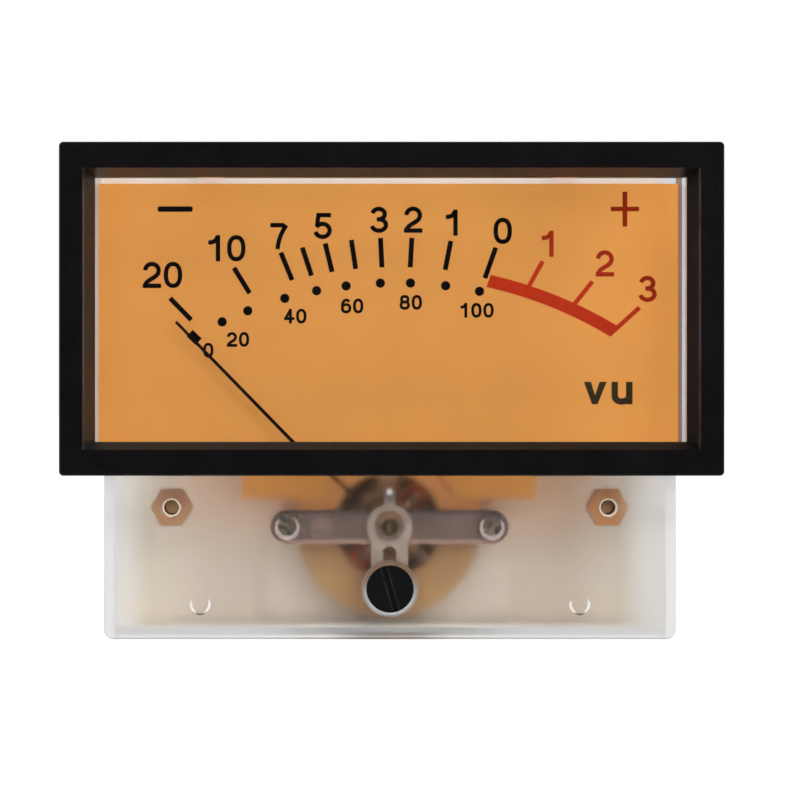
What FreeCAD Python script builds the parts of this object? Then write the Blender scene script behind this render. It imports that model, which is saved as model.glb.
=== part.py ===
import FreeCAD, Part
import math
import os

import Sketcher

# Analog VU meter: a moving-coil movement in a frosted case, behind a push-on bezel.
# Frame: origin midway between the two panel inserts, on the front face of the cover plate.
# +X is to the right, +Y to the back and +Z up, all in millimetres.
# A depth is a distance along +Y, and a height is a distance along +Z from the insert line.

DOC = FreeCAD.newDocument("vu_meter")
SHEET = DOC.addObject("Spreadsheet::Sheet", "dim")

DIMENSIONS = {
    "Bezel": {
        "bezel_wide": 90.0,
        "bezel_tall": 45.2,
        "bezel_reach": 8.5,
        "bezel_round": 0.5,
        "bezel_corner": 0.6,
        "mouth_wide": 83.6,
        "mouth_tall": 38.1,
        "lip_wide": 80.7,
        "lip_tall": 36.1,
        "lip_land": 0.5,
        "push_fit": 0.1,
    },
    "Window box of the cover": {
        "window_mid": 27.2,
        "window_wide": 84.2,
        "window_tall": 39.6,
        "window_reach": 4.5,
        "window_wall": 1.2,
        "pane_thick": 1.5,
    },
    "Cover and case": {
        "upper_wide": 87.0,
        "upper_top": 48.4,
        "step_height": 5.6,
        "lower_wide": 79.0,
        "body_drop": 18.2,
        "plate_thick": 1.5,
        "shell_wall": 1.6,
        "shell_corner": 1.4,
        "shell_edge": 0.35,
        "shell_rear_edge": 0.8,
        "seam_depth": 9.0,
        "wall_depth": 16.4,
        "back_depth": 18.0,
        "cup_radius": 15.2,
        "cup_bore": 13.8,
        "cup_floor_depth": 24.0,
        "cup_depth": 25.5,
        "label_radius": 10.5,
        "label_thick": 0.12,
    },
    "Snap catches": {
        "snap_height": 1.6,
        "snap_top_across": 25.0,
        "snap_slot_tall": 4.4,
        "snap_slot_front": 5.5,
        "snap_slot_back": 7.4,
        "snap_gap": 0.15,
        "catch_tall": 3.4,
        "catch_reach": 1.1,
        "tongue_thick": 0.6,
        "tongue_front": 5.1,
        "tongue_back": 12.0,
    },
    "Panel inserts and dimples": {
        "insert_across": 30.2,
        "insert_flats": 5.0,
        "insert_front": 1.0,
        "insert_back": 5.0,
        "insert_bore": 1.025,
        "insert_floor": 0.6,
        "insert_gap": 0.03,
        "insert_hole": 1.35,
        "dimple_across": 26.2,
        "dimple_drop": 13.44,
        "dimple_radius": 1.28,
        "dimple_depth": 0.4,
    },
    "Zero adjuster": {
        "zero_drop": 11.2,
        "zero_radius": 3.25,
        "zero_bore": 3.3,
        "zero_proud": 0.3,
        "zero_slot_wide": 0.8,
        "zero_slot_deep": 0.7,
        "zero_slot_long": 6.1,
        "zero_slot_tilt": 16.0,
        "collar_radius": 3.85,
        "collar_rise": 0.8,
        "shank_radius": 2.0,
        "shank_back": 2.2,
        "pin_offset": 1.1,
        "pin_radius": 0.85,
        "pin_back": 3.1,
        "clip_radius": 3.9,
        "clip_front": 1.55,
        "clip_back": 1.8,
    },
    "Zero lever": {
        "lever_front": 2.5,
        "lever_back": 3.0,
        "lever_ring": 3.2,
        "lever_bore": 1.95,
        "lever_tail_wide": 5.1,
        "lever_tail_long": 9.0,
        "lever_slot_wide": 1.87,
        "lever_slot_start": 3.6,
        "lever_arm_wide": 1.6,
        "lever_tab_in": 4.7,
        "lever_tab_out": 5.2,
        "lever_tab_back": 5.2,
    },
    "Bridges and jewels": {
        "pivot_drop": 2.78,
        "bridge_front": 3.2,
        "bridge_back": 4.2,
        "bridge_tall": 4.73,
        "bridge_boss_front": 2.2,
        "bridge_boss_radius": 1.9,
        "bridge_mark_across": 9.35,
        "bridge_mark_rise": 0.5,
        "bridge_mark_radius": 1.1,
        "bridge_mark_deep": 0.15,
        "pillar_across": 14.2,
        "pillar_radius": 2.0,
        "jewel_screw_radius": 1.4,
        "jewel_screw_front": 1.9,
        "jewel_screw_back": 4.6,
        "jewel_radius": 0.75,
        "jewel_thick": 0.6,
        "cup_mouth": 0.38,
        "cup_end": 0.08,
        "cup_deep": 0.45,
        "rear_bridge_front": 20.6,
        "rear_bridge_back": 21.6,
        "rear_bridge_tall": 4.0,
        "rear_foot_across": 10.2,
        "rear_foot_radius": 1.8,
        "rear_jewel_front": 20.2,
        "rear_jewel_back": 22.9,
        "nut_flats": 4.4,
        "nut_thick": 0.9,
    },
    "Magnet and frame": {
        "ring_radius": 13.0,
        "ring_bore": 7.5,
        "ring_front": 9.5,
        "ring_back": 17.5,
        "ring_notch": 2.15,
        "core_radius": 5.6,
        "core_front": 8.5,
        "spacer_wide": 2.8,
        "flange_front": 14.8,
        "flange_half": 21.4,
        "flange_waist": 17.4,
        "flange_top": 12.0,
        "flange_step": 0.4,
        "flange_bottom": 16.4,
        "flange_round": 1.2,
        "post_across": 15.5,
        "post_height": 6.7,
        "post_radius": 1.6,
        "frame_screw_across": 19.2,
        "frame_screw_height": 3.2,
    },
    "Moving coil": {
        "rest_angle": 48.7,
        "coil_front": 7.0,
        "coil_back": 19.0,
        "coil_half": 6.9,
        "coil_wide": 2.6,
        "coil_thick": 0.8,
        "coil_round": 0.7,
        "former_thick": 0.2,
        "former_wide": 3.0,
        "staff_radius": 0.4,
        "staff_boss": 1.4,
        "staff_cone": 0.3,
        "staff_tip": 0.04,
        "cone_long": 0.55,
        "collet_radius": 0.85,
        "collet_long": 0.4,
        "cross_front": 5.6,
        "pointer_front": 5.9,
        "pointer_back": 6.2,
        "hub_radius": 1.7,
        "arm_wide": 0.9,
        "tail_long": 7.6,
        "side_long": 6.2,
        "tail_weight_at": 6.13,
        "tail_weight_long": 2.0,
        "tail_weight_radius": 1.0,
        "left_weight_at": 5.67,
        "right_weight_at": 5.13,
        "side_weight_long": 1.2,
        "side_weight_radius": 0.72,
    },
    "Pointer": {
        "pointer_start": 0.45,
        "pointer_bend": 18.0,
        "pointer_tip": 41.3,
        "pointer_turn": 2.5,
        "pointer_half": 0.25,
        "pointer_tip_half": 0.21,
        "pointer_travel": 98.0,
        "stop_reach": 14.1,
        "stop_radius": 0.4,
        "stop_front": 5.4,
        "stop_lead": 4.7,
        "stop_gap": 2.7,
    },
    "Hairsprings": {
        "spring_inner": 0.95,
        "spring_thick": 0.12,
        "spring_front": 4.85,
        "spring_wide": 0.3,
        "rear_spring_front": 19.75,
        "anchor_front": 20.3,
        "anchor_wide": 1.4,
        "anchor_low": 1.9,
        "anchor_tab_front": 19.6,
    },
    "Dial and backlight": {
        "dial_front": 8.0,
        "dial_back": 8.8,
        "dial_wide": 81.4,
        "dial_top": 45.26,
        "dial_low": 8.4,
        "tab_half": 20.7,
        "tab_low": 0.96,
        "notch_top": 6.86,
        "notch_bend": 3.86,
        "notch_top_half": 6.8,
        "notch_bend_half": 8.2,
        "notch_low_half": 9.6,
        "diffuser_back": 11.8,
        "diffuser_wide": 83.6,
        "diffuser_low": 8.6,
        "diffuser_notch_half": 14.0,
        "diffuser_notch_top": 11.4,
        "diffuser_top": 46.1,
        "rib_size": 3.0,
        "rib_across": 38.5,
        "rib_low": 13.6,
        "rib_high": 43.4,
        "board_front": 14.4,
        "board_back": 15.4,
        "board_wide": 62.0,
        "board_tall": 12.0,
        "board_height": 28.0,
        "board_screw_across": 28.0,
        "board_boss": 2.0,
        "led_wide": 3.5,
        "led_tall": 2.8,
        "led_front": 13.0,
        "led_pitch": 15.5,
        "chip_wide": 3.2,
        "chip_tall": 1.6,
        "chip_front": 13.8,
        "chip_height": 24.2,
    },
    "Terminals and leads": {
        "terminal_across": 30.0,
        "terminal_height": 16.0,
        "terminal_boss": 3.2,
        "terminal_boss_back": 18.9,
        "rivet_radius": 1.5,
        "rivet_front": 15.6,
        "rivet_head": 2.3,
        "rivet_back": 19.5,
        "post_pin": 0.6,
        "post_pin_front": 13.2,
        "lug_wide": 4.0,
        "lug_thick": 0.8,
        "lug_back": 25.0,
        "lug_eye": 0.8,
        "lug_eye_depth": 23.2,
        "lamp_pin_across": 5.1,
        "lamp_pin_height": 31.5,
        "lamp_pin_radius": 0.5,
        "lamp_pin_front": 13.9,
        "lamp_pin_back": 23.0,
        "tag_front": 14.3,
        "tag_radius": 2.0,
        "tag_wide": 1.7,
        "tag_top": 9.6,
        "lead_radius": 0.45,
        "lead_depth": 13.9,
    },
    "Small screws": {
        "bridge_head": 1.8,
        "bridge_head_tall": 1.0,
        "bridge_shank": 1.0,
        "bridge_screw_end": 8.2,
        "small_head": 1.4,
        "small_head_tall": 0.8,
        "small_shank": 0.8,
        "screw_slot": 0.5,
    },
}


def fill_sheet():
    """Write each driving dimension to a row: its name, then its value under that alias."""
    row = 1
    for group, sizes in DIMENSIONS.items():
        SHEET.set(f"A{row}", group)
        for name, size in sizes.items():
            row += 1
            SHEET.set(f"A{row}", name)
            SHEET.set(f"B{row}", str(size))
            SHEET.setAlias(f"B{row}", name)
        row += 2
    DOC.recompute()


def number(expression):
    """Work an expression on the sheet's cells out to a plain number."""
    result = SHEET.evalExpression(expression)
    return float(getattr(result, "Value", result))


def bind(item, **expressions):
    """Bind properties to expressions; a double underscore stands for a dot in the path."""
    for path, expression in expressions.items():
        item.setExpression(path.replace("__", "."), expression)
    return item


# ---------------------------------------------------------------- sketched bodies

def new_body(label):
    body = DOC.addObject("PartDesign::Body", label)
    body.Label = label
    return body


def front_sketch(body, name, depth):
    """A sketch seen from the front, at a depth: its own x is X, its y is Z, its normal is -Y."""
    sketch = body.newObject("Sketcher::SketchObject", name)
    plane = next(p for p in body.Origin.OriginFeatures if p.Role == "XZ_Plane")
    sketch.AttachmentSupport = [(plane, "")]
    sketch.MapMode = "FlatFace"
    bind(sketch, AttachmentOffset__Base__z=f"-({depth})")
    return sketch


def hold_point(sketch, geometry, vertex, across, height):
    """Hold a point by its distance from each axis, or on the axis where that is nothing."""
    for kind, expression, axis in (("DistanceX", across, -2), ("DistanceY", height, -1)):
        size = number(expression)
        if abs(size) < 1e-9:
            sketch.addConstraint(Sketcher.Constraint("PointOnObject", geometry, vertex, axis))
            continue
        index = sketch.addConstraint(Sketcher.Constraint(kind, -1, 1, geometry, vertex, size))
        sketch.setExpression(f"Constraints[{index}]", expression)


def polygon(sketch, corners):
    """Closed outline through corners, each a pair of expressions."""
    points = [FreeCAD.Vector(number(x), number(z), 0) for x, z in corners]
    lines = []
    for start, end in zip(points, points[1:] + points[:1]):
        lines.append(sketch.addGeometry(Part.LineSegment(start, end), False))
    for line, following in zip(lines, lines[1:] + lines[:1]):
        sketch.addConstraint(Sketcher.Constraint("Coincident", line, 2, following, 1))
    for line, (x, z) in zip(lines, corners):
        hold_point(sketch, line, 1, x, z)


def rectangle(sketch, across, height, wide, tall):
    """Rectangle about its middle."""
    left, right = f"{across} - ({wide}) / 2", f"{across} + ({wide}) / 2"
    low, high = f"{height} - ({tall}) / 2", f"{height} + ({tall}) / 2"
    polygon(sketch, [(left, low), (right, low), (right, high), (left, high)])


def circle(sketch, across, height, radius):
    middle = FreeCAD.Vector(number(across), number(height), 0)
    ring = sketch.addGeometry(Part.Circle(middle, FreeCAD.Vector(0, 0, 1), number(radius)), False)
    index = sketch.addConstraint(Sketcher.Constraint("Radius", ring, number(radius)))
    sketch.setExpression(f"Constraints[{index}]", radius)
    hold_point(sketch, ring, 3, across, height)


def hexagon(sketch, across, height, flats):
    """Hexagon with corners to the left and right, given across its flats."""
    corners = []
    for turn in range(0, 360, 60):
        reach = f"({flats}) / sqrt(3)"
        corners.append((f"{across} + {reach} * cos({turn})", f"{height} + {reach} * sin({turn})"))
    polygon(sketch, corners)


def slab(body, name, front, back, *outlines):
    """Pad outlines from their back depth forward; an outline inside another is a hole."""
    sketch = front_sketch(body, f"{name}_outline", back)
    for draw, *sizes in outlines:
        draw(sketch, *sizes)
    pad = body.newObject("PartDesign::Pad", name)
    pad.Profile = sketch
    bind(pad, Length=f"({back}) - ({front})")
    return pad


def cut(body, name, front, back, *outlines):
    """Cut outlines from their front depth to the back."""
    sketch = front_sketch(body, f"{name}_outline", front)
    for draw, *sizes in outlines:
        draw(sketch, *sizes)
    pocket = body.newObject("PartDesign::Pocket", name)
    pocket.Profile = sketch
    bind(pocket, Length=f"({back}) - ({front})")
    return pocket


def round_edges(body, name, radius, wanted):
    """Fillet the edges of the body so far whose bounding box the test wants."""
    DOC.recompute()
    base = body.Tip
    edges = [f"Edge{i}" for i, edge in enumerate(base.Shape.Edges, 1) if wanted(edge.BoundBox)]
    fillet = body.newObject("PartDesign::Fillet", name)
    fillet.Base = (base, edges)
    bind(fillet, Radius=radius)
    return fillet


def is_at(size, expression):
    return abs(abs(size) - abs(number(expression))) < 1e-4


def corner_edge(box, half_wide, height):
    """True for an edge along Y at a distance either side of the middle, at a height."""
    along = box.YLength > 0.2 and box.XLength < 1e-4 and box.ZLength < 1e-4
    return along and is_at(box.XMin, half_wide) and abs(box.ZMin - number(height)) < 1e-4


# ---------------------------------------------------------------- solids from primitives

BACKWARDS = FreeCAD.Rotation(FreeCAD.Vector(1, 0, 0), -90)
ANTICLOCKWISE = FreeCAD.Vector(0, -1, 0)


def rod(name, radius, front, back, across="0", height="0"):
    """Cylinder along Y between two depths."""
    item = DOC.addObject("Part::Cylinder", name)
    item.Placement = FreeCAD.Placement(FreeCAD.Vector(), BACKWARDS)
    bind(item, Radius=radius, Height=f"({back}) - ({front})")
    return bind(item, Placement__Base__x=across, Placement__Base__y=front, Placement__Base__z=height)


def taper(name, front_radius, back_radius, front, back, across="0", height="0"):
    """Cone along Y between two depths."""
    item = DOC.addObject("Part::Cone", name)
    item.Placement = FreeCAD.Placement(FreeCAD.Vector(), BACKWARDS)
    bind(item, Radius1=front_radius, Radius2=back_radius, Height=f"({back}) - ({front})")
    return bind(item, Placement__Base__x=across, Placement__Base__y=front, Placement__Base__z=height)


def block(name, left, right, front, back, low, high):
    """Box between two places along each axis."""
    item = DOC.addObject("Part::Box", name)
    bind(item, Length=f"({right}) - ({left})", Width=f"({back}) - ({front})")
    bind(item, Height=f"({high}) - ({low})")
    return bind(item, Placement__Base__x=left, Placement__Base__y=front, Placement__Base__z=low)


def hex_bar(name, flats, front, back, across="0", height="0"):
    """Hexagonal bar along Y, with corners to the left and right."""
    item = DOC.addObject("Part::Prism", name)
    item.Polygon = 6
    item.Placement = FreeCAD.Placement(FreeCAD.Vector(), BACKWARDS)
    bind(item, Circumradius=f"({flats}) / sqrt(3)", Height=f"({back}) - ({front})")
    return bind(item, Placement__Base__x=across, Placement__Base__y=front, Placement__Base__z=height)


def joined(name, *pieces):
    item = DOC.addObject("Part::MultiFuse", name)
    item.Shapes = list(pieces)
    item.Refine = True
    item.Label = name
    return item


def without(name, base, *tools):
    item = DOC.addObject("Part::Cut", name)
    item.Base = base
    item.Tool = tools[0] if len(tools) == 1 else joined(f"{name}_tools", *tools)
    item.Label = name
    return item


def shared(name, *pieces):
    item = DOC.addObject("Part::MultiCommon", name)
    item.Shapes = list(pieces)
    item.Label = name
    return item


def group(name, *pieces):
    """Several separate solids kept as one node."""
    item = DOC.addObject("Part::Compound", name)
    item.Links = list(pieces)
    item.Label = name
    return item


def mirror_pair(name, make):
    """The same piece at both sides, kept as one node; make takes a name and a side's sign."""
    return group(name, *(make(f"{name}_{side}", sign) for side, sign in SIDES))


def from_shape(name, shape):
    item = DOC.addObject("Part::Feature", name)
    item.Shape = shape
    item.Label = name
    return item


SIDES = (("left", "-1"), ("right", "1"))
PIVOT = "-dim.pivot_drop"


def slotted_screw(name, head, head_front, head_back, shank, end, across, height):
    """Cylinder head with a straight slot, and a plain shank to its end depth."""
    top = rod(f"{name}_head", head, head_front, head_back, across, height)
    stem = rod(f"{name}_shank", shank, head_back, end, across, height)
    half = "dim.screw_slot / 2"
    floor = f"({head_front}) + dim.screw_slot * 0.8"
    slot = block(
        f"{name}_slot", f"{across} - ({head})", f"{across} + ({head})",
        head_front, floor, f"{height} - {half}", f"{height} + {half}",
    )
    return without(name, joined(f"{name}_blank", top, stem), slot)


# ---------------------------------------------------------------- case, cover, window, bezel

def tee(inset):
    """Outline of the shell, wide above the step and narrow below it, moved in by an inset."""
    wide = f"dim.upper_wide / 2 - {inset}"
    narrow = f"dim.lower_wide / 2 - {inset}"
    top = f"dim.upper_top - {inset}"
    step = f"dim.step_height + {inset}"
    bottom = f"-dim.body_drop + {inset}"
    right = [(narrow, bottom), (narrow, step), (wide, step), (wide, top)]
    left = [(f"-({x})", z) for x, z in reversed(right)]
    return right + left


def round_shell(body, name):
    """Round the outer corners of the shell, below and above."""
    def wanted(box):
        below = corner_edge(box, "dim.lower_wide / 2", "-dim.body_drop")
        return below or corner_edge(box, "dim.upper_wide / 2", "dim.upper_top")
    return round_edges(body, name, "dim.shell_corner", wanted)


def make_bezel():
    bezel = new_body("bezel")
    slab(bezel, "bezel_block", "-dim.bezel_reach", "0",
         (rectangle, "0", "dim.window_mid", "dim.bezel_wide", "dim.bezel_tall"))

    def outer_corner(box):
        half = "dim.bezel_tall / 2"
        low = corner_edge(box, "dim.bezel_wide / 2", f"dim.window_mid - {half}")
        return low or corner_edge(box, "dim.bezel_wide / 2", f"dim.window_mid + {half}")

    round_edges(bezel, "bezel_corners", "dim.bezel_corner", outer_corner)

    def front_edge(box):
        return box.YLength < 1e-4 and is_at(box.YMin, "dim.bezel_reach")

    round_edges(bezel, "bezel_front_round", "dim.bezel_round", front_edge)
    mouth = bezel.newObject("PartDesign::SubtractiveLoft", "bezel_mouth")
    outer = front_sketch(bezel, "mouth_outline", "-dim.bezel_reach")
    rectangle(outer, "0", "dim.window_mid", "dim.mouth_wide", "dim.mouth_tall")
    inner = front_sketch(bezel, "lip_outline", "-dim.window_reach - dim.lip_land")
    rectangle(inner, "0", "dim.window_mid", "dim.lip_wide", "dim.lip_tall")
    mouth.Profile = outer
    mouth.Sections = [inner]
    mouth.Ruled = True
    cut(bezel, "lip_opening", "-dim.window_reach - dim.lip_land", "0",
        (rectangle, "0", "dim.window_mid", "dim.lip_wide", "dim.lip_tall"))
    cut(bezel, "window_pocket", "-dim.window_reach", "0",
        (rectangle, "0", "dim.window_mid", "dim.window_wide + 2 * dim.push_fit",
         "dim.window_tall + 2 * dim.push_fit"))
    return bezel


def make_window_pane():
    pane = new_body("window_pane")
    slab(pane, "pane", "-dim.window_reach", "-dim.window_reach + dim.pane_thick",
         (rectangle, "0", "dim.window_mid", "dim.window_wide - 2 * dim.window_wall",
          "dim.window_tall - 2 * dim.window_wall"))
    return pane


def make_front_cover():
    cover = new_body("front_cover")
    slab(cover, "skirt", "0", "dim.seam_depth", (polygon, tee("0")))
    round_shell(cover, "skirt_corners")

    def front_rim(box):
        flat = box.YLength < 1e-4 and is_at(box.YMin, "0")
        return flat and box.ZMax < number("dim.step_height") + 1e-4

    round_edges(cover, "front_rim", "dim.shell_edge", front_rim)
    cut(cover, "cavity", "dim.plate_thick", "dim.seam_depth", (polygon, tee("dim.shell_wall")))
    slab(cover, "window_box", "-dim.window_reach", "0",
         (rectangle, "0", "dim.window_mid", "dim.window_wide", "dim.window_tall"))
    cut(cover, "window_opening", "-dim.window_reach", "dim.plate_thick",
        (rectangle, "0", "dim.window_mid", "dim.window_wide - 2 * dim.window_wall",
         "dim.window_tall - 2 * dim.window_wall"))
    slab(cover, "zero_collar", "-dim.collar_rise", "0",
         (circle, "0", "-dim.zero_drop", "dim.collar_radius"))
    cut(cover, "zero_bore", "-dim.collar_rise", "dim.plate_thick",
        (circle, "0", "-dim.zero_drop", "dim.zero_bore"))
    across = ("-dim.insert_across", "dim.insert_across")
    cut(cover, "panel_holes", "0", "dim.plate_thick",
        *((circle, x, "0", "dim.insert_hole") for x in across))
    cut(cover, "insert_seats", "dim.insert_front - dim.insert_gap", "dim.plate_thick",
        *((hexagon, x, "0", "dim.insert_flats") for x in across))
    cut(cover, "dimples", "0", "dim.dimple_depth",
        *((circle, x, "-dim.dimple_drop", "dim.dimple_radius")
          for x in ("-dim.dimple_across", "dim.dimple_across")))
    side = "dim.lower_wide / 2 - dim.shell_wall / 2"
    top = "dim.upper_top - dim.shell_wall / 2"
    through = "dim.shell_wall + 0.4"
    cut(cover, "side_snap_slots", "dim.snap_slot_front", "dim.snap_slot_back",
        *((rectangle, f"{sign} * ({side})", "dim.snap_height", through, "dim.snap_slot_tall")
          for _, sign in SIDES))
    cut(cover, "top_snap_slots", "dim.snap_slot_front", "dim.snap_slot_back",
        *((rectangle, f"{sign} * dim.snap_top_across", top, "dim.snap_slot_tall", through)
          for _, sign in SIDES))
    return cover


def make_rear_case():
    case = new_body("rear_case")
    slab(case, "shell", "dim.seam_depth", "dim.back_depth", (polygon, tee("0")))
    round_shell(case, "shell_corners")

    def rear_edge(box):
        return box.YLength < 1e-4 and is_at(box.YMin, "dim.back_depth")

    round_edges(case, "rear_rounding", "dim.shell_rear_edge", rear_edge)
    cut(case, "case_cavity", "dim.seam_depth", "dim.wall_depth", (polygon, tee("dim.shell_wall")))
    slab(case, "cup", "dim.wall_depth", "dim.cup_depth", (circle, "0", PIVOT, "dim.cup_radius"))

    def cup_edge(box):
        return box.YLength < 1e-4 and is_at(box.YMin, "dim.cup_depth")

    round_edges(case, "cup_rounding", "dim.shell_rear_edge", cup_edge)
    terminals = [(f"{sign} * dim.terminal_across", "dim.terminal_height") for _, sign in SIDES]
    slab(case, "terminal_bosses", "dim.wall_depth", "dim.terminal_boss_back",
         *((circle, *place, "dim.terminal_boss") for place in terminals))
    cut(case, "cup_bore", "dim.wall_depth", "dim.cup_floor_depth",
        (circle, "0", PIVOT, "dim.cup_bore"))
    slab(case, "diffuser_ribs", "dim.diffuser_back", "dim.wall_depth",
         *((rectangle, f"{sign} * dim.rib_across", height, "dim.rib_size", "dim.rib_size")
           for _, sign in SIDES for height in ("dim.rib_low", "dim.rib_high")))
    slab(case, "board_bosses", "dim.board_back", "dim.wall_depth",
         *((circle, f"{sign} * dim.board_screw_across", "dim.board_height", "dim.board_boss")
           for _, sign in SIDES))
    cut(case, "board_screw_holes", "dim.board_back", "dim.wall_depth + 0.8",
        *((circle, f"{sign} * dim.board_screw_across", "dim.board_height", "dim.small_shank")
          for _, sign in SIDES))
    cut(case, "frame_screw_holes", "dim.wall_depth", "dim.wall_depth + 1.0",
        *((circle, f"{sign} * dim.frame_screw_across", "dim.frame_screw_height", "dim.small_shank")
          for _, sign in SIDES))
    cut(case, "terminal_holes", "dim.wall_depth", "dim.terminal_boss_back",
        *((circle, *place, "dim.rivet_radius") for place in terminals),
        *((circle, f"{sign} * dim.lamp_pin_across", "dim.lamp_pin_height", "dim.lamp_pin_radius")
          for _, sign in SIDES))
    inside = "dim.lower_wide / 2 - dim.shell_wall"
    under = "dim.upper_top - dim.shell_wall"
    side = f"{inside} - dim.tongue_thick / 2"
    top = f"{under} - dim.tongue_thick / 2"
    slab(case, "side_tongues", "dim.tongue_front", "dim.tongue_back",
         *((rectangle, f"{sign} * ({side})", "dim.snap_height", "dim.tongue_thick", "dim.catch_tall")
           for _, sign in SIDES))
    slab(case, "top_tongues", "dim.tongue_front", "dim.tongue_back",
         *((rectangle, f"{sign} * dim.snap_top_across", top, "dim.catch_tall", "dim.tongue_thick")
           for _, sign in SIDES))
    front, back = "dim.snap_slot_front + dim.snap_gap", "dim.snap_slot_back - dim.snap_gap"
    out_side = f"{inside} + dim.catch_reach / 2"
    out_top = f"{under} + dim.catch_reach / 2"
    slab(case, "side_catches", front, back,
         *((rectangle, f"{sign} * ({out_side})", "dim.snap_height", "dim.catch_reach", "dim.catch_tall")
           for _, sign in SIDES))
    slab(case, "top_catches", front, back,
         *((rectangle, f"{sign} * dim.snap_top_across", out_top, "dim.catch_tall", "dim.catch_reach")
           for _, sign in SIDES))
    return case


def make_rear_label():
    return rod("rear_label", "dim.label_radius", "dim.cup_depth", "dim.cup_depth + dim.label_thick",
               "0", PIVOT)


def make_panel_insert(label, sign):
    insert = new_body(label)
    across = f"{sign} * dim.insert_across"
    slab(insert, f"{label}_bar", "dim.insert_front", "dim.insert_back",
         (hexagon, across, "0", "dim.insert_flats"))
    cut(insert, f"{label}_bore", "dim.insert_front", "dim.insert_back - dim.insert_floor",
        (circle, across, "0", "dim.insert_bore"))
    return insert


# ---------------------------------------------------------------- dial and backlight

def make_dial_plate():
    dial = new_body("dial_plate")
    half = "dim.dial_wide / 2"
    right = [
        ("dim.notch_top_half", "dim.notch_top"),
        ("dim.notch_bend_half", "dim.notch_bend"),
        ("dim.notch_low_half", "dim.tab_low"),
        ("dim.tab_half", "dim.tab_low"),
        ("dim.tab_half", "dim.dial_low"),
        (half, "dim.dial_low"),
        (half, "dim.dial_top"),
    ]
    left = [(f"-({x})", z) for x, z in reversed(right)]
    slab(dial, "dial_sheet", "dim.dial_front", "dim.dial_back", (polygon, right + left),
         *((circle, f"{sign} * dim.post_across", "dim.post_height", "dim.small_shank")
           for _, sign in SIDES),
         *((circle, *stop_place(side), "dim.stop_radius") for side, _ in SIDES))
    return dial


def stop_place(side):
    """Where a pointer stop stands, just past the needle's limit on that side."""
    if side == "left":
        angle = "(-dim.rest_angle - dim.stop_lead)"
    else:
        angle = "(dim.pointer_travel - dim.rest_angle + dim.stop_gap)"
    return f"dim.stop_reach * sin({angle})", f"{PIVOT} + dim.stop_reach * cos({angle})"


def make_pointer_stop(side):
    return rod(f"pointer_stop_{side}", "dim.stop_radius", "dim.stop_front", "dim.dial_back",
               *stop_place(side))


def make_diffuser_plate():
    middle = "(dim.diffuser_top + dim.diffuser_low) / 2"
    diffuser = new_body("diffuser_plate")
    slab(diffuser, "diffuser_sheet", "dim.dial_back", "dim.diffuser_back",
         (rectangle, "0", middle, "dim.diffuser_wide", "dim.diffuser_top - dim.diffuser_low"))
    cut(diffuser, "ring_notch", "dim.dial_back", "dim.diffuser_back",
        (rectangle, "0", "dim.diffuser_low", "2 * dim.diffuser_notch_half",
         "2 * (dim.diffuser_notch_top - dim.diffuser_low)"))
    return diffuser


def make_backlight_board():
    board = new_body("backlight_board")
    slab(board, "board_sheet", "dim.board_front", "dim.board_back",
         (rectangle, "0", "dim.board_height", "dim.board_wide", "dim.board_tall"),
         *((circle, f"{sign} * dim.board_screw_across", "dim.board_height", "dim.small_shank")
           for _, sign in SIDES),
         *((circle, f"{sign} * dim.lamp_pin_across", "dim.lamp_pin_height", "dim.lamp_pin_radius")
           for _, sign in SIDES))
    return board


def flat_part(name, across, height, wide, tall, front):
    """Small block soldered to the front of the backlight board."""
    return block(name, f"{across} - {wide} / 2", f"{across} + {wide} / 2",
                 front, "dim.board_front", f"{height} - {tall} / 2", f"{height} + {tall} / 2")


def make_backlight_leds():
    places = ("-1.5", "-0.5", "0.5", "1.5")
    return group("backlight_leds", *(
        flat_part(f"led_{index}", f"{place} * dim.led_pitch", "dim.board_height",
                  "dim.led_wide", "dim.led_tall", "dim.led_front")
        for index, place in enumerate(places, 1)))


def make_backlight_resistors():
    return mirror_pair("backlight_resistors", lambda name, sign: flat_part(
        name, f"{sign} * dim.led_pitch", "dim.chip_height",
        "dim.chip_wide", "dim.chip_tall", "dim.chip_front"))


def make_board_screws():
    return mirror_pair("board_screws", lambda name, sign: slotted_screw(
        name, "dim.small_head", "dim.board_front - dim.small_head_tall", "dim.board_front",
        "dim.small_shank", "dim.wall_depth + 0.8",
        f"{sign} * dim.board_screw_across", "dim.board_height"))


def make_dial_screws():
    return mirror_pair("dial_screws", lambda name, sign: slotted_screw(
        name, "dim.small_head", "dim.dial_front - dim.small_head_tall", "dim.dial_front",
        "dim.small_shank", "dim.diffuser_back", f"{sign} * dim.post_across", "dim.post_height"))


# ---------------------------------------------------------------- terminals and leads

def make_terminal(label, sign):
    """Riveted terminal: a pin inside the case and a solder lug with an eye behind it."""
    across, height = f"{sign} * dim.terminal_across", "dim.terminal_height"
    pin = rod(f"{label}_pin", "dim.post_pin", "dim.post_pin_front", "dim.rivet_front", across, height)
    rivet = rod(f"{label}_rivet", "dim.rivet_radius", "dim.rivet_front", "dim.rivet_back", across, height)
    head = rod(f"{label}_head", "dim.rivet_head", "dim.terminal_boss_back", "dim.rivet_back", across, height)
    half_wide, half_thick = "dim.lug_wide / 2", "dim.lug_thick / 2"
    blade = block(f"{label}_blade", f"{across} - {half_wide}", f"{across} + {half_wide}",
                  "dim.rivet_back", "dim.lug_back", f"{height} - {half_thick}", f"{height} + {half_thick}")
    eye = DOC.addObject("Part::Cylinder", f"{label}_eye")
    bind(eye, Radius="dim.lug_eye", Height="dim.lug_thick * 2", Placement__Base__x=across,
         Placement__Base__y="dim.lug_eye_depth", Placement__Base__z=f"{height} - dim.lug_thick")
    return without(label, joined(f"{label}_blank", pin, rivet, head, blade), eye)


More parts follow.
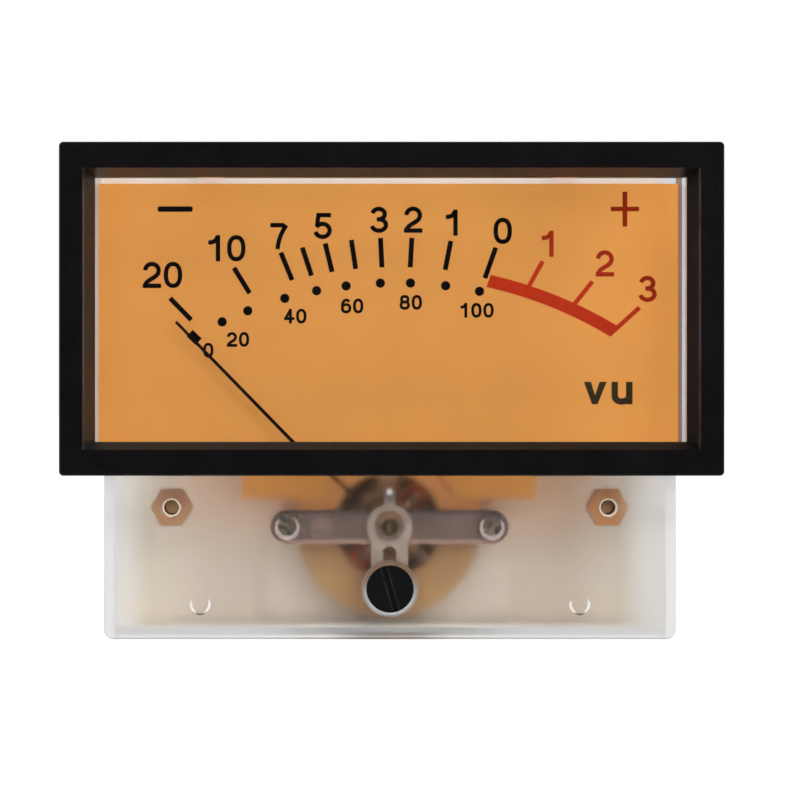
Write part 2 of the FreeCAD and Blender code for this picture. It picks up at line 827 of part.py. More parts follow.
def make_lamp_terminals():
    return mirror_pair("lamp_terminals", lambda name, sign: rod(
        name, "dim.lamp_pin_radius", "dim.lamp_pin_front", "dim.lamp_pin_back",
        f"{sign} * dim.lamp_pin_across", "dim.lamp_pin_height"))


def make_solder_tag(label, sign):
    """Ring under a frame screw, with a tongue upwards that the lead is soldered to."""
    across, height = f"{sign} * dim.frame_screw_across", "dim.frame_screw_height"
    eye = rod(f"{label}_ring", "dim.tag_radius", "dim.tag_front", "dim.flange_front", across, height)
    tongue = block(f"{label}_tongue", f"{across} - dim.tag_wide / 2", f"{across} + dim.tag_wide / 2",
                   "dim.tag_front", "dim.flange_front", height, "dim.tag_top")
    hole = rod(f"{label}_hole", "dim.small_shank", "dim.tag_front", "dim.flange_front", across, height)
    return without(label, joined(f"{label}_blank", eye, tongue), hole)


LEAD_ROUTE = ((30.0, 16.0), (27.1, 13.9), (24.9, 11.2), (22.3, 9.4), (19.2, 8.2))


def make_signal_lead(label, side):
    """Insulated wire from a terminal's pin to its tag: straight runs joined by tangent arcs."""
    depth = number("dim.lead_depth")
    radius = number("dim.lead_radius")
    points = [FreeCAD.Vector(side * x, depth, z) for x, z in LEAD_ROUTE]
    edges = []
    start = points[0]
    for before, corner, after in zip(points, points[1:], points[2:]):
        back, ahead = before - corner, after - corner
        trim = 0.45 * min(back.Length, ahead.Length)
        back.normalize()
        ahead.normalize()
        half_turn = (math.pi - back.getAngle(ahead)) / 2
        bend = trim / math.tan(half_turn)
        print(f"{label}: bend radius {bend:.1f} mm")
        entry, leave = corner + back * trim, corner + ahead * trim
        inward = (back + ahead).normalize()
        centre = corner + inward * (bend / math.cos(half_turn))
        edges.append(Part.LineSegment(start, entry).toShape())
        edges.append(Part.Arc(entry, centre - inward * bend, leave).toShape())
        start = leave
    edges.append(Part.LineSegment(start, points[-1]).toShape())
    path = Part.Wire(edges)
    section = Part.Wire(Part.Circle(points[0], points[1] - points[0], radius).toShape())
    tube = path.makePipeShell([section], True, False)
    expected = math.pi * radius ** 2 * path.Length
    print(f"{label}: {path.Length:.1f} mm long, volume {tube.Volume:.2f} of {expected:.2f} mm3")
    return from_shape(label, tube)


# ---------------------------------------------------------------- frame, magnet and bridges

def make_movement_frame():
    frame = new_body("movement_frame")
    bottom, step, top = "-dim.flange_bottom", "dim.flange_step", "dim.flange_top"
    right = [("dim.flange_waist", bottom), ("dim.flange_waist", step),
             ("dim.flange_half", step), ("dim.flange_half", top)]
    left = [(f"-({x})", z) for x, z in reversed(right)]
    slab(frame, "flange", "dim.flange_front", "dim.wall_depth", (polygon, right + left),
         (circle, "0", PIVOT, "dim.ring_radius"),
         *((circle, f"{sign} * dim.frame_screw_across", "dim.frame_screw_height", "dim.small_shank")
           for _, sign in SIDES))

    def outer_corner(box):
        low = corner_edge(box, "dim.flange_waist", bottom)
        return low or corner_edge(box, "dim.flange_half", top)

    round_edges(frame, "flange_corners", "dim.flange_round", outer_corner)
    slab(frame, "pillars", "dim.bridge_back", "dim.flange_front",
         *((circle, f"{sign} * dim.pillar_across", PIVOT, "dim.pillar_radius") for _, sign in SIDES))
    slab(frame, "dial_posts", "dim.dial_back", "dim.flange_front",
         *((circle, f"{sign} * dim.post_across", "dim.post_height", "dim.post_radius")
           for _, sign in SIDES))
    cut(frame, "pillar_bores", "dim.bridge_back", "dim.bridge_screw_end",
        *((circle, f"{sign} * dim.pillar_across", PIVOT, "dim.bridge_shank") for _, sign in SIDES))
    cut(frame, "post_bores", "dim.dial_back", "dim.diffuser_back",
        *((circle, f"{sign} * dim.post_across", "dim.post_height", "dim.small_shank")
          for _, sign in SIDES))
    return frame


def make_movement_screws():
    return mirror_pair("movement_screws", lambda name, sign: slotted_screw(
        name, "dim.small_head", "dim.tag_front - dim.small_head_tall", "dim.tag_front",
        "dim.small_shank", "dim.wall_depth + 1.0",
        f"{sign} * dim.frame_screw_across", "dim.frame_screw_height"))


def make_return_ring():
    ring = new_body("return_ring")
    slab(ring, "ring", "dim.ring_front", "dim.ring_back",
         (circle, "0", PIVOT, "dim.ring_radius"), (circle, "0", PIVOT, "dim.ring_bore"))
    cut(ring, "pillar_notches", "dim.ring_front", "dim.ring_back",
        *((circle, f"{sign} * dim.pillar_across", PIVOT, "dim.ring_notch") for _, sign in SIDES))
    cut(ring, "bridge_screw_holes", "dim.ring_back - 2.5", "dim.ring_back",
        *((circle, f"{sign} * dim.rear_foot_across", PIVOT, "dim.small_shank") for _, sign in SIDES))
    return ring


def make_core_magnet():
    return rod("core_magnet", "dim.core_radius", "dim.core_front", "dim.ring_back", "0", PIVOT)


def make_core_spacers():
    """Two brass keys in the air gap, above and below, where the coil never comes."""
    def key(name, low, high):
        bar = block(f"{name}_bar", "-dim.spacer_wide / 2", "dim.spacer_wide / 2",
                    "dim.ring_front", "dim.ring_back", low, high)
        bore = rod(f"{name}_bore", "dim.ring_bore", "dim.ring_front", "dim.ring_back", "0", PIVOT)
        core = rod(f"{name}_core", "dim.core_radius", "dim.ring_front", "dim.ring_back", "0", PIVOT)
        return without(name, shared(f"{name}_blank", bar, bore), core)
    return group("core_spacers",
                 key("upper_key", PIVOT, f"{PIVOT} + dim.ring_bore"),
                 key("lower_key", f"{PIVOT} - dim.ring_bore", PIVOT))


def capsule(body, name, front, back, across, tall):
    """Bar with round ends about two centres, one each side of the pivot."""
    slab(body, f"{name}_middle", front, back,
         (rectangle, "0", PIVOT, f"2 * ({across})", tall))
    for side, sign in SIDES:
        slab(body, f"{name}_{side}_end", front, back,
             (circle, f"{sign} * ({across})", PIVOT, f"({tall}) / 2"))


def make_front_bridge():
    bridge = new_body("front_bridge")
    capsule(bridge, "arm", "dim.bridge_front", "dim.bridge_back", "dim.pillar_across", "dim.bridge_tall")
    slab(bridge, "lever_boss", "dim.bridge_boss_front", "dim.bridge_front",
         (circle, "0", PIVOT, "dim.bridge_boss_radius"))
    cut(bridge, "jewel_bore", "dim.bridge_boss_front", "dim.bridge_back",
        (circle, "0", PIVOT, "dim.jewel_screw_radius"))
    cut(bridge, "screw_holes", "dim.bridge_front", "dim.bridge_back",
        *((circle, f"{sign} * dim.pillar_across", PIVOT, "dim.bridge_shank") for _, sign in SIDES))
    cut(bridge, "ejector_marks", "dim.bridge_front", "dim.bridge_front + dim.bridge_mark_deep",
        *((circle, f"{sign} * dim.bridge_mark_across", f"{PIVOT} + dim.bridge_mark_rise",
           "dim.bridge_mark_radius") for _, sign in SIDES))
    return bridge


def make_bridge_screws():
    return mirror_pair("bridge_screws", lambda name, sign: slotted_screw(
        name, "dim.bridge_head", "dim.bridge_front - dim.bridge_head_tall", "dim.bridge_front",
        "dim.bridge_shank", "dim.bridge_screw_end", f"{sign} * dim.pillar_across", PIVOT))


def make_rear_bridge():
    bridge = new_body("rear_bridge")
    capsule(bridge, "strap", "dim.rear_bridge_front", "dim.rear_bridge_back",
            "dim.rear_foot_across", "dim.rear_bridge_tall")
    slab(bridge, "feet", "dim.ring_back", "dim.rear_bridge_front",
         *((circle, f"{sign} * dim.rear_foot_across", PIVOT, "dim.rear_foot_radius") for _, sign in SIDES))
    cut(bridge, "bores", "dim.ring_back", "dim.rear_bridge_back",
        *((circle, f"{sign} * dim.rear_foot_across", PIVOT, "dim.small_shank") for _, sign in SIDES))
    cut(bridge, "rear_jewel_bore", "dim.rear_bridge_front", "dim.rear_bridge_back",
        (circle, "0", PIVOT, "dim.jewel_screw_radius"))
    return bridge


def make_rear_bridge_screws():
    """Screws from behind: their heads stand on the rear bridge and their shanks run forward."""
    def screw(name, sign):
        across = f"{sign} * dim.rear_foot_across"
        back = "dim.rear_bridge_back + dim.small_head_tall"
        head = rod(f"{name}_head", "dim.small_head", "dim.rear_bridge_back", back, across, PIVOT)
        stem = rod(f"{name}_shank", "dim.small_shank", "dim.ring_back - 2.5", "dim.rear_bridge_back",
                   across, PIVOT)
        slot = block(f"{name}_slot", f"{across} - dim.small_head", f"{across} + dim.small_head",
                     f"{back} - dim.screw_slot * 0.8", back,
                     f"{PIVOT} - dim.screw_slot / 2", f"{PIVOT} + dim.screw_slot / 2")
        return without(name, joined(f"{name}_blank", head, stem), slot)
    return mirror_pair("rear_bridge_screws", screw)


def make_jewel_screw(label, front, back, slot_front, slot_back, seat_front, seat_back):
    """Headless screw that holds a jewel in one end and has a driver slot in the other."""
    stem = rod(f"{label}_stem", "dim.jewel_screw_radius", front, back, "0", PIVOT)
    half = "dim.screw_slot / 2"
    slot = block(f"{label}_slot", "-dim.jewel_screw_radius", "dim.jewel_screw_radius",
                 slot_front, slot_back, f"{PIVOT} - {half}", f"{PIVOT} + {half}")
    seat = rod(f"{label}_seat", "dim.jewel_radius", seat_front, seat_back, "0", PIVOT)
    return without(label, stem, slot, seat)


def make_jewel(label, front, back, mouth_front, mouth_back, front_radius, back_radius):
    """Sapphire disc with a conical cup for the pivot's tip."""
    stone = rod(f"{label}_stone", "dim.jewel_radius", front, back, "0", PIVOT)
    cup = taper(f"{label}_cup", front_radius, back_radius, mouth_front, mouth_back, "0", PIVOT)
    return without(label, stone, cup)


def make_rear_lock_nut():
    back = "dim.rear_bridge_back + dim.nut_thick"
    nut = hex_bar("nut_bar", "dim.nut_flats", "dim.rear_bridge_back", back, "0", PIVOT)
    bore = rod("nut_bore", "dim.jewel_screw_radius", "dim.rear_bridge_back", back, "0", PIVOT)
    return without("rear_lock_nut", nut, bore)


# ---------------------------------------------------------------- zero adjuster

def make_zero_screw():
    """Slotted head in the collar, a shank for the clip and an eccentric pin that moves the lever."""
    height = "-dim.zero_drop"
    head = rod("zero_head", "dim.zero_radius", "-dim.zero_proud", "dim.plate_thick", "0", height)
    shank = rod("zero_shank", "dim.shank_radius", "dim.plate_thick", "dim.shank_back", "0", height)
    pin = rod("zero_pin", "dim.pin_radius", "dim.shank_back", "dim.pin_back",
              "0", f"{height} + dim.pin_offset")
    slot = DOC.addObject("Part::Box", "zero_slot")
    slot.Placement = FreeCAD.Placement(FreeCAD.Vector(), FreeCAD.Rotation(ANTICLOCKWISE, 1))
    half_wide, half_long = "dim.zero_slot_wide / 2", "dim.zero_slot_long / 2"
    sine, cosine = "sin(dim.zero_slot_tilt)", "cos(dim.zero_slot_tilt)"
    bind(slot, Length="dim.zero_slot_wide", Width="dim.zero_slot_deep", Height="dim.zero_slot_long",
         Placement__Rotation__Angle="dim.zero_slot_tilt",
         Placement__Base__x=f"{half_long} * {sine} - {half_wide} * {cosine}",
         Placement__Base__y="-dim.zero_proud",
         Placement__Base__z=f"{height} - {half_wide} * {sine} - {half_long} * {cosine}")
    return without("zero_screw", joined("zero_blank", head, shank, pin), slot)


def make_zero_screw_clip():
    outer = rod("clip_outer", "dim.clip_radius", "dim.clip_front", "dim.clip_back", "0", "-dim.zero_drop")
    inner = rod("clip_inner", "dim.shank_radius", "dim.clip_front", "dim.clip_back", "0", "-dim.zero_drop")
    return without("zero_screw_clip", outer, inner)


def make_zero_lever():
    """Ring on the bridge's boss, a forked tail below it and a bent tab above for the hairspring."""
    lever = new_body("zero_lever")
    front, back = "dim.lever_front", "dim.lever_back"
    slab(lever, "lever_ring_plate", front, back, (circle, "0", PIVOT, "dim.lever_ring"))
    tail_end = f"{PIVOT} - dim.lever_tail_long"
    slab(lever, "lever_tail", front, back,
         (rectangle, "0", f"{PIVOT} - dim.lever_tail_long / 2", "dim.lever_tail_wide", "dim.lever_tail_long"))
    slab(lever, "lever_arm", front, back,
         (rectangle, "0", f"{PIVOT} + dim.lever_tab_out / 2", "dim.lever_arm_wide", "dim.lever_tab_out"))
    slab(lever, "lever_tab", front, "dim.lever_tab_back",
         (rectangle, "0", f"{PIVOT} + (dim.lever_tab_in + dim.lever_tab_out) / 2",
          "dim.lever_arm_wide", "dim.lever_tab_out - dim.lever_tab_in"))
    cut(lever, "lever_bore", front, back, (circle, "0", PIVOT, "dim.lever_bore"))
    half = "dim.lever_slot_wide / 2"
    start = f"{PIVOT} - dim.lever_slot_start"
    cut(lever, "fork_slot", front, back,
        (polygon, [(f"-{half}", f"{tail_end} - 1"), (half, f"{tail_end} - 1"),
                   (half, start), (f"-{half}", start)]))
    cut(lever, "fork_slot_end", front, back, (circle, "0", start, half))
    return lever


# ---------------------------------------------------------------- moving coil and pointer

def on_pivot(item):
    """Turn a piece made with its pointer straight up to the rest angle, and put it on the pivot."""
    item.Placement = FreeCAD.Placement(FreeCAD.Vector(), FreeCAD.Rotation(ANTICLOCKWISE, 1))
    return bind(item, Placement__Base__z=PIVOT, Placement__Rotation__Angle="dim.rest_angle")


def coil_loop(name, half, front, back, wide):
    """Solid block about the axis, as a loop's outside or inside."""
    return block(name, f"-({half})", half, front, back, f"-({wide}) / 2", f"({wide}) / 2")


def make_coil_winding():
    outer = coil_loop("winding_block", "dim.coil_half", "dim.coil_front", "dim.coil_back", "dim.coil_wide")
    inner = coil_loop("winding_inside", "dim.coil_half - dim.coil_thick",
                      "dim.coil_front + dim.coil_thick", "dim.coil_back - dim.coil_thick",
                      "dim.coil_wide + 1")
    DOC.recompute()
    rounded = DOC.addObject("Part::Fillet", "winding_rounded")
    rounded.Base = outer
    radius = number("dim.coil_round")
    upright = [i for i, edge in enumerate(outer.Shape.Edges, 1)
               if edge.BoundBox.ZLength > number("dim.coil_wide") - 1e-4]
    rounded.Edges = [(i, radius, radius) for i in upright]
    return on_pivot(without("coil_winding", rounded, inner))


def make_coil_former():
    wound = "dim.coil_half - dim.coil_thick"
    front, back = "dim.coil_front + dim.coil_thick", "dim.coil_back - dim.coil_thick"
    outer = coil_loop("former_block", wound, front, back, "dim.former_wide")
    inner = coil_loop("former_inside", f"{wound} - dim.former_thick", f"{front} + dim.former_thick",
                      f"{back} - dim.former_thick", "dim.former_wide + 1")
    return on_pivot(without("coil_former", outer, inner))


def make_front_pivot():
    """Staff on the coil's front: a boss, a collet for the hairspring and a cone in the jewel."""
    collet_back = "dim.spring_front + dim.spring_wide"
    collet_front = f"{collet_back} - dim.collet_long"
    boss = rod("front_boss", "dim.staff_boss", "dim.pointer_back", "dim.coil_front")
    staff = rod("front_staff", "dim.staff_radius", collet_back, "dim.pointer_back")
    collet = rod("front_collet", "dim.collet_radius", collet_front, collet_back)
    cone = taper("front_cone", "dim.staff_tip", "dim.staff_cone",
                 f"{collet_front} - dim.cone_long", collet_front)
    return on_pivot(joined("front_pivot", boss, staff, collet, cone))


def make_rear_pivot():
    collet_back = "dim.rear_spring_front + dim.spring_wide"
    collet_front = f"{collet_back} - dim.collet_long"
    boss = rod("rear_boss", "dim.staff_boss", "dim.coil_back", collet_front)
    collet = rod("rear_collet", "dim.collet_radius", collet_front, collet_back)
    cone = taper("rear_cone", "dim.staff_cone", "dim.staff_tip",
                 collet_back, f"{collet_back} + dim.cone_long")
    return on_pivot(joined("rear_pivot", boss, collet, cone))


def make_balance_cross():
    """Hub with a tail arm away from the pointer and two side arms."""
    front, back = "dim.cross_front", "dim.pointer_front"
    half = "dim.arm_wide / 2"
    hub = rod("cross_hub", "dim.hub_radius", front, back)
    tail = block("cross_tail", f"-{half}", half, front, back, "-dim.tail_long", "0")
    sides = block("cross_sides", "-dim.side_long", "dim.side_long", front, back, f"-{half}", half)
    hole = rod("cross_hole", "dim.staff_radius", front, back)
    return on_pivot(without("balance_cross", joined("cross_blank", hub, tail, sides), hole))


def make_balance_weights():
    """Wire-wound nuts on the three arms; the arms run through them."""
    front, back = "dim.cross_front", "dim.pointer_front"
    centre = f"({front} + {back}) / 2"
    half = "dim.arm_wide / 2"

    def weight(name, direction, size):
        at, long = f"dim.{direction}_weight_at", f"dim.{size}_weight_long"
        sleeve = DOC.addObject("Part::Cylinder", f"{name}_sleeve")
        bind(sleeve, Radius=f"dim.{size}_weight_radius", Height=long)
        start = f"{at} - {long} / 2"
        if direction == "tail":
            bind(sleeve, Placement__Base__y=centre, Placement__Base__z=f"-({at}) - {long} / 2")
            arm = block(f"{name}_arm", f"-{half}", half, front, back, "-dim.tail_long", "0")
        else:
            sleeve.Placement = FreeCAD.Placement(
                FreeCAD.Vector(), FreeCAD.Rotation(FreeCAD.Vector(0, 1, 0), 90))
            left = start if direction == "right" else f"-({start}) - {long}"
            bind(sleeve, Placement__Base__x=left, Placement__Base__y=centre)
            arm = block(f"{name}_arm", "-dim.side_long", "dim.side_long", front, back, f"-{half}", half)
        return on_pivot(without(name, sleeve, arm))

    return group(
        "balance_weights",
        weight("tail_weight", "tail", "tail"),
        weight("left_weight", "left", "side"),
        weight("right_weight", "right", "side"),
    )


def make_pointer():
    """Flat needle on the cross, straight to its bend and then turned towards its tip."""
    half, tip = "dim.pointer_half", "dim.pointer_tip_half"
    tip_x = "dim.pointer_tip * sin(dim.pointer_turn)"
    tip_z = "dim.pointer_tip * cos(dim.pointer_turn)"
    outline = [
        (f"-{half}", "dim.pointer_start"),
        (half, "dim.pointer_start"),
        (half, "dim.pointer_bend"),
        (f"{tip_x} + {tip}", tip_z),
        (f"{tip_x} - {tip}", tip_z),
        (f"-{half}", "dim.pointer_bend"),
    ]
    pointer = new_body("pointer")
    slab(pointer, "needle", "dim.pointer_front", "dim.pointer_back", (polygon, outline))
    return on_pivot(pointer)


# ---------------------------------------------------------------- hairsprings

def spiral(inner, offset, pitch, half_turns):
    """Arcs of a flat spiral, each as its start, middle and end; it starts below and ends above."""
    arcs = []
    for half in range(half_turns):
        side = 1 if half % 2 else -1
        low = inner + offset + pitch * half / 2
        high = low + pitch / 2
        start = FreeCAD.Vector(0, 0, side * low)
        middle = FreeCAD.Vector(side * (low + high) / 2, 0, side * (low - high) / 2)
        arcs.append((start, middle, FreeCAD.Vector(0, 0, -side * high)))
    return arcs


def make_hairspring(label, front):
    """Flat ribbon spiral from its collet out to its anchor above the pivot."""
    turns = 4
    thick, wide = number("dim.spring_thick"), number("dim.spring_wide")
    inner, outer = number("dim.spring_inner"), number("dim.lever_tab_in - dim.spring_thick")
    pitch = 2 * (outer - inner) / (2 * turns - 1)
    half_turns = 2 * turns - 1
    inside = spiral(inner, 0.0, pitch, half_turns)
    outside = spiral(inner, thick, pitch, half_turns)
    edges = [Part.Arc(*points).toShape() for points in inside]
    edges.append(Part.LineSegment(inside[-1][2], outside[-1][2]).toShape())
    edges += [Part.Arc(*reversed(points)).toShape() for points in reversed(outside)]
    edges.append(Part.LineSegment(outside[0][0], inside[0][0]).toShape())
    ribbon = Part.Face(Part.Wire(edges)).extrude(FreeCAD.Vector(0, wide, 0))
    spring = from_shape(label, ribbon)
    place = FreeCAD.Vector(0, number(front), number(PIVOT))
    spring.Placement = FreeCAD.Placement(place, FreeCAD.Rotation())
    return spring


def make_rear_spring_anchor():
    """Strip on the rear bridge with a forward tab that holds the rear hairspring's end."""
    half = "dim.anchor_wide / 2"
    strip = block("anchor_strip", f"-{half}", half, "dim.anchor_front", "dim.rear_bridge_front",
                  f"{PIVOT} + dim.anchor_low", f"{PIVOT} + dim.lever_tab_out")
    tab = block("anchor_tab", f"-{half}", half, "dim.anchor_tab_front", "dim.anchor_front",
                f"{PIVOT} + dim.lever_tab_in", f"{PIVOT} + dim.lever_tab_out")
    return joined("rear_spring_anchor", strip, tab)


# ---------------------------------------------------------------- assembly

def make_all():
    return [
        make_bezel(),
        make_window_pane(),
        make_front_cover(),
        make_rear_case(),
        make_rear_label(),
        make_panel_insert("panel_insert_left", "-1"),
        make_panel_insert("panel_insert_right", "1"),
        make_dial_plate(),
        make_dial_screws(),
        make_pointer_stop("left"),
        make_pointer_stop("right"),
        make_diffuser_plate(),
        make_backlight_board(),
        make_backlight_leds(),
        make_backlight_resistors(),
        make_board_screws(),
        make_lamp_terminals(),
        make_terminal("terminal_minus", "-1"),
        make_terminal("terminal_plus", "1"),
        make_solder_tag("solder_tag_left", "-1"),
        make_solder_tag("solder_tag_right", "1"),
        make_signal_lead("signal_lead_left", -1),
        make_signal_lead("signal_lead_right", 1),
        make_movement_frame(),
        make_movement_screws(),
        make_return_ring(),
        make_core_magnet(),
        make_core_spacers(),
        make_front_bridge(),
        make_bridge_screws(),
        make_jewel_screw("front_jewel_screw", "dim.jewel_screw_front", "dim.jewel_screw_back",
                         "dim.jewel_screw_front", "dim.jewel_screw_front + dim.screw_slot",
                         "dim.jewel_screw_back - dim.jewel_thick", "dim.jewel_screw_back"),
        make_jewel("front_jewel", "dim.jewel_screw_back - dim.jewel_thick", "dim.jewel_screw_back",
                   "dim.jewel_screw_back - dim.cup_deep", "dim.jewel_screw_back",
                   "dim.cup_end", "dim.cup_mouth"),
        make_rear_bridge(),
        make_rear_bridge_screws(),
        make_jewel_screw("rear_jewel_screw", "dim.rear_jewel_front", "dim.rear_jewel_back",
                         "dim.rear_jewel_back - dim.screw_slot", "dim.rear_jewel_back",
                         "dim.rear_jewel_front", "dim.rear_jewel_front + dim.jewel_thick"),
        make_jewel("rear_jewel", "dim.rear_jewel_front", "dim.rear_jewel_front + dim.jewel_thick",
                   "dim.rear_jewel_front", "dim.rear_jewel_front + dim.cup_deep",
                   "dim.cup_mouth", "dim.cup_end"),
        make_rear_lock_nut(),
        make_zero_screw(),
        make_zero_screw_clip(),
        make_zero_lever(),
        make_coil_winding(),
        make_coil_former(),
        make_front_pivot(),
        make_rear_pivot(),
        make_balance_cross(),
        make_balance_weights(),
        make_pointer(),
        make_hairspring("front_hairspring", "dim.spring_front"),
        make_hairspring("rear_hairspring", "dim.rear_spring_front"),
        make_rear_spring_anchor(),
    ]


def check(nodes):
    """Stop if any object failed, or any node's shape is empty, broken or of no volume."""
    for item in DOC.Objects:
        if "Invalid" in item.State or "Error" in item.State:
            raise RuntimeError(f"{item.Label} failed: {item.State}")
    for node in nodes:
        shape = node.Shape
        if shape.isNull() or not shape.isValid() or shape.Volume < 1e-3:
            raise RuntimeError(f"{node.Label} has a bad shape")


def write(nodes):
    os.makedirs("parts", exist_ok=True)
    for node in nodes:
        node.Shape.exportStep(os.path.join("parts", f"{node.Label}.step"))


fill_sheet()
NODES = make_all()
DOC.recompute()
check(NODES)
write(NODES)
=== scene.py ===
"""Finishes, scale printing, small parts and stage for a moving-coil panel meter."""

import math

import bmesh
import bpy
import numpy as np
from bpy.props import FloatProperty, FloatVectorProperty, PointerProperty
from bpy.types import Operator, Panel, PropertyGroup
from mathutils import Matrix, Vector


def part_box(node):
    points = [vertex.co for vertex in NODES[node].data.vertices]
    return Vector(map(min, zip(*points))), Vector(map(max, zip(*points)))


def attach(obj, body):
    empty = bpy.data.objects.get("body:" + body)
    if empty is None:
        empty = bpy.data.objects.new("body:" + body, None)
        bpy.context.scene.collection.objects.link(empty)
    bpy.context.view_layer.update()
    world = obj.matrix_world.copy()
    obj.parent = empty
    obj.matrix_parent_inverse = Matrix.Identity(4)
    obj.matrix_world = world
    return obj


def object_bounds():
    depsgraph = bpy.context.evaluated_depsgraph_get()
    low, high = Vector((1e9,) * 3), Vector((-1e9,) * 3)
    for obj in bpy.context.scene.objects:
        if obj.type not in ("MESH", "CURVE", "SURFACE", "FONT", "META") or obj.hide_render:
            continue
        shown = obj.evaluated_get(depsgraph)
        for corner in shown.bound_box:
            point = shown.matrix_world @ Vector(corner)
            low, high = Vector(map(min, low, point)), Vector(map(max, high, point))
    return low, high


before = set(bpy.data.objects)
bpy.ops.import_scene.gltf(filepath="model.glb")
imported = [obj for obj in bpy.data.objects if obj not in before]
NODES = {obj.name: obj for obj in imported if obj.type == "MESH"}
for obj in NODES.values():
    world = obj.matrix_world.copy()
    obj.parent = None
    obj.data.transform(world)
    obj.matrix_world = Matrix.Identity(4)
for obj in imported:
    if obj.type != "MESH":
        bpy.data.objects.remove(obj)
CAD_BOX = [list(corner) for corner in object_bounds()]

bl_info = {
    "name": "Panel meter dressing",
    "version": (1, 0, 0),
    "blender": (4, 5, 0),
    "location": "3D View > Sidebar > Meter",
    "description": "Finishes, scale printing and small parts for a moving-coil panel meter",
    "category": "Add Mesh",
}

MM = 0.001


def middle(node):
    """Centre of a CAD node's box, in millimetres."""
    low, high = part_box(node)
    return (low + high) / 2 / MM


# Places that several pieces share, in millimetres.
PIVOT = middle("front_jewel_screw")
SCREW = middle("zero_screw")
INSERT = middle("panel_insert_right")
TERMINAL = middle("terminal_plus")
BEZEL = middle("bezel")
DIAL_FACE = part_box("dial_plate")[0].y / MM
CASE_FOOT, CASE_TOP = (corner.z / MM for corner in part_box("rear_case"))
SHELL_WALL = 1.6
# Ink sinks this far into the paint, and strokes that cross stand this far apart, so that no two
# faces lie in one plane.
LAYER = 0.003
# The lamps face this point of the meter, in metres.
TARGET = (0.0, 0.0, 0.015)


# ---------------------------------------------------------------- properties

def colour(name, description, red, green, blue):
    """A colour that a user can change, in linear red, green and blue."""
    return FloatVectorProperty(name=name, description=description, default=(red, green, blue),
                               subtype="COLOR", size=3, min=0.0, max=1.0)


def length(name, description, millimetres):
    """A length that a user can change, kept in metres and shown in the scene's unit."""
    return FloatProperty(name=name, description=description, default=millimetres * MM,
                         unit="LENGTH", precision=5)


def plain(name, description, value):
    """A number without a unit that a user can change."""
    return FloatProperty(name=name, description=description, default=value)


class MeterColours(PropertyGroup):
    """Colours of the meter's materials."""
    bezel: colour("Bezel", "Black moulded bezel", 0.0042, 0.0036, 0.0040)
    frosting: colour("Frosted cover", "Milky plastic of the front cover", 0.97, 0.965, 0.96)
    case: colour("Rear case", "Ivory plastic of the case and frame", 0.705, 0.625, 0.54)
    dial: colour("Dial", "Paint on the dial plate", 0.60, 0.256, 0.059)
    black_ink: colour("Black ink", "Marks and numerals", 0.002, 0.001, 0.001)
    red_ink: colour("Red ink", "Overload band and its numerals", 0.51, 0.032, 0.007)
    unit_ink: colour("Unit ink", "Letters of the unit", 0.042, 0.028, 0.012)
    brass: colour("Brass", "Inserts, weights and jewel screws", 0.50, 0.26, 0.135)
    passivate: colour("Passivate", "Yellow passivated return ring", 0.37, 0.200, 0.080)
    bridge: colour("Bridge metal", "Die-cast bridges", 0.122, 0.074, 0.059)
    lever: colour("Lever", "Zero lever", 0.30, 0.228, 0.187)
    enamel: colour("Wire enamel", "Enamelled copper wire", 0.31, 0.022, 0.008)
    lacquer: colour("Lacquer", "Green locking lacquer on the jewel screw", 0.034, 0.024, 0.003)
    board: colour("Board", "Green lamp board", 0.02, 0.16, 0.06)


class ScalePrint(PropertyGroup):
    """Sizes of the printing on the dial plate."""
    arc_x: length("Arc centre X", "Centre of the scale's arcs, across", 1.12)
    arc_z: length("Arc centre Z", "Centre of the scale's arcs, height", -26.12)
    aim_x: length("Aim X", "Point that the marks point at, across", 0.94)
    aim_z: length("Aim Z", "Point that the marks point at, height", -3.28)
    ink: length("Ink thickness", "How far the ink stands on the paint", 0.025)
    dot_radius: length("Dot arc radius", "Arc of the percent scale's dots", 57.46)
    dot_size: length("Dot diameter", "Width of a dot", 1.31)
    mark_inner: length("Mark start", "Arc radius where the marks start", 59.67)
    mark_outer: length("Mark end", "Arc radius where the marks end", 63.81)
    mark_wide: length("Mark width", "Width of a black mark", 0.70)
    red_mark_wide: length("Red mark width", "Width of a red mark", 0.63)
    band_inner: length("Band inner radius", "Inner arc radius of the red band", 58.25)
    band_outer: length("Band outer radius", "Outer arc radius of the red band", 60.05)
    numeral_wide: length("Numeral width", "Width of a numeral's cell", 2.60)
    numeral_tall: length("Numeral height", "Height of a numeral", 3.69)
    numeral_pitch: length("Numeral pitch", "Step from one numeral to the next", 2.96)
    numeral_stroke: length("Numeral stroke", "Width of a numeral's strokes", 0.62)
    small_wide: length("Small numeral width", "Width of a percent numeral's cell", 1.46)
    small_tall: length("Small numeral height", "Height of a percent numeral", 2.08)
    small_pitch: length("Small numeral pitch", "Step between percent numerals", 1.70)
    small_stroke: length("Small numeral stroke", "Width of its strokes", 0.40)


class SmallParts(PropertyGroup):
    """Sizes of the coil wire, threads, solder and marks that the plain solids leave out."""
    wire_radius: length("Wire radius", "Radius of the coil's enamelled wire", 0.07)
    wire_turns: plain("Wire turns", "Turns across the coil's outer layer", 17.0)
    thread_pitch: length("Thread pitch", "Pitch of the inserts' thread", 0.45)
    rim_half: length("Rim half width", "Half width of the polished rims", 0.14)
    solder_radius: length("Solder radius", "Radius of a solder joint's foot", 0.75)
    mark_reach: length("Polarity mark reach", "Height of the marks on the back", 0.25)


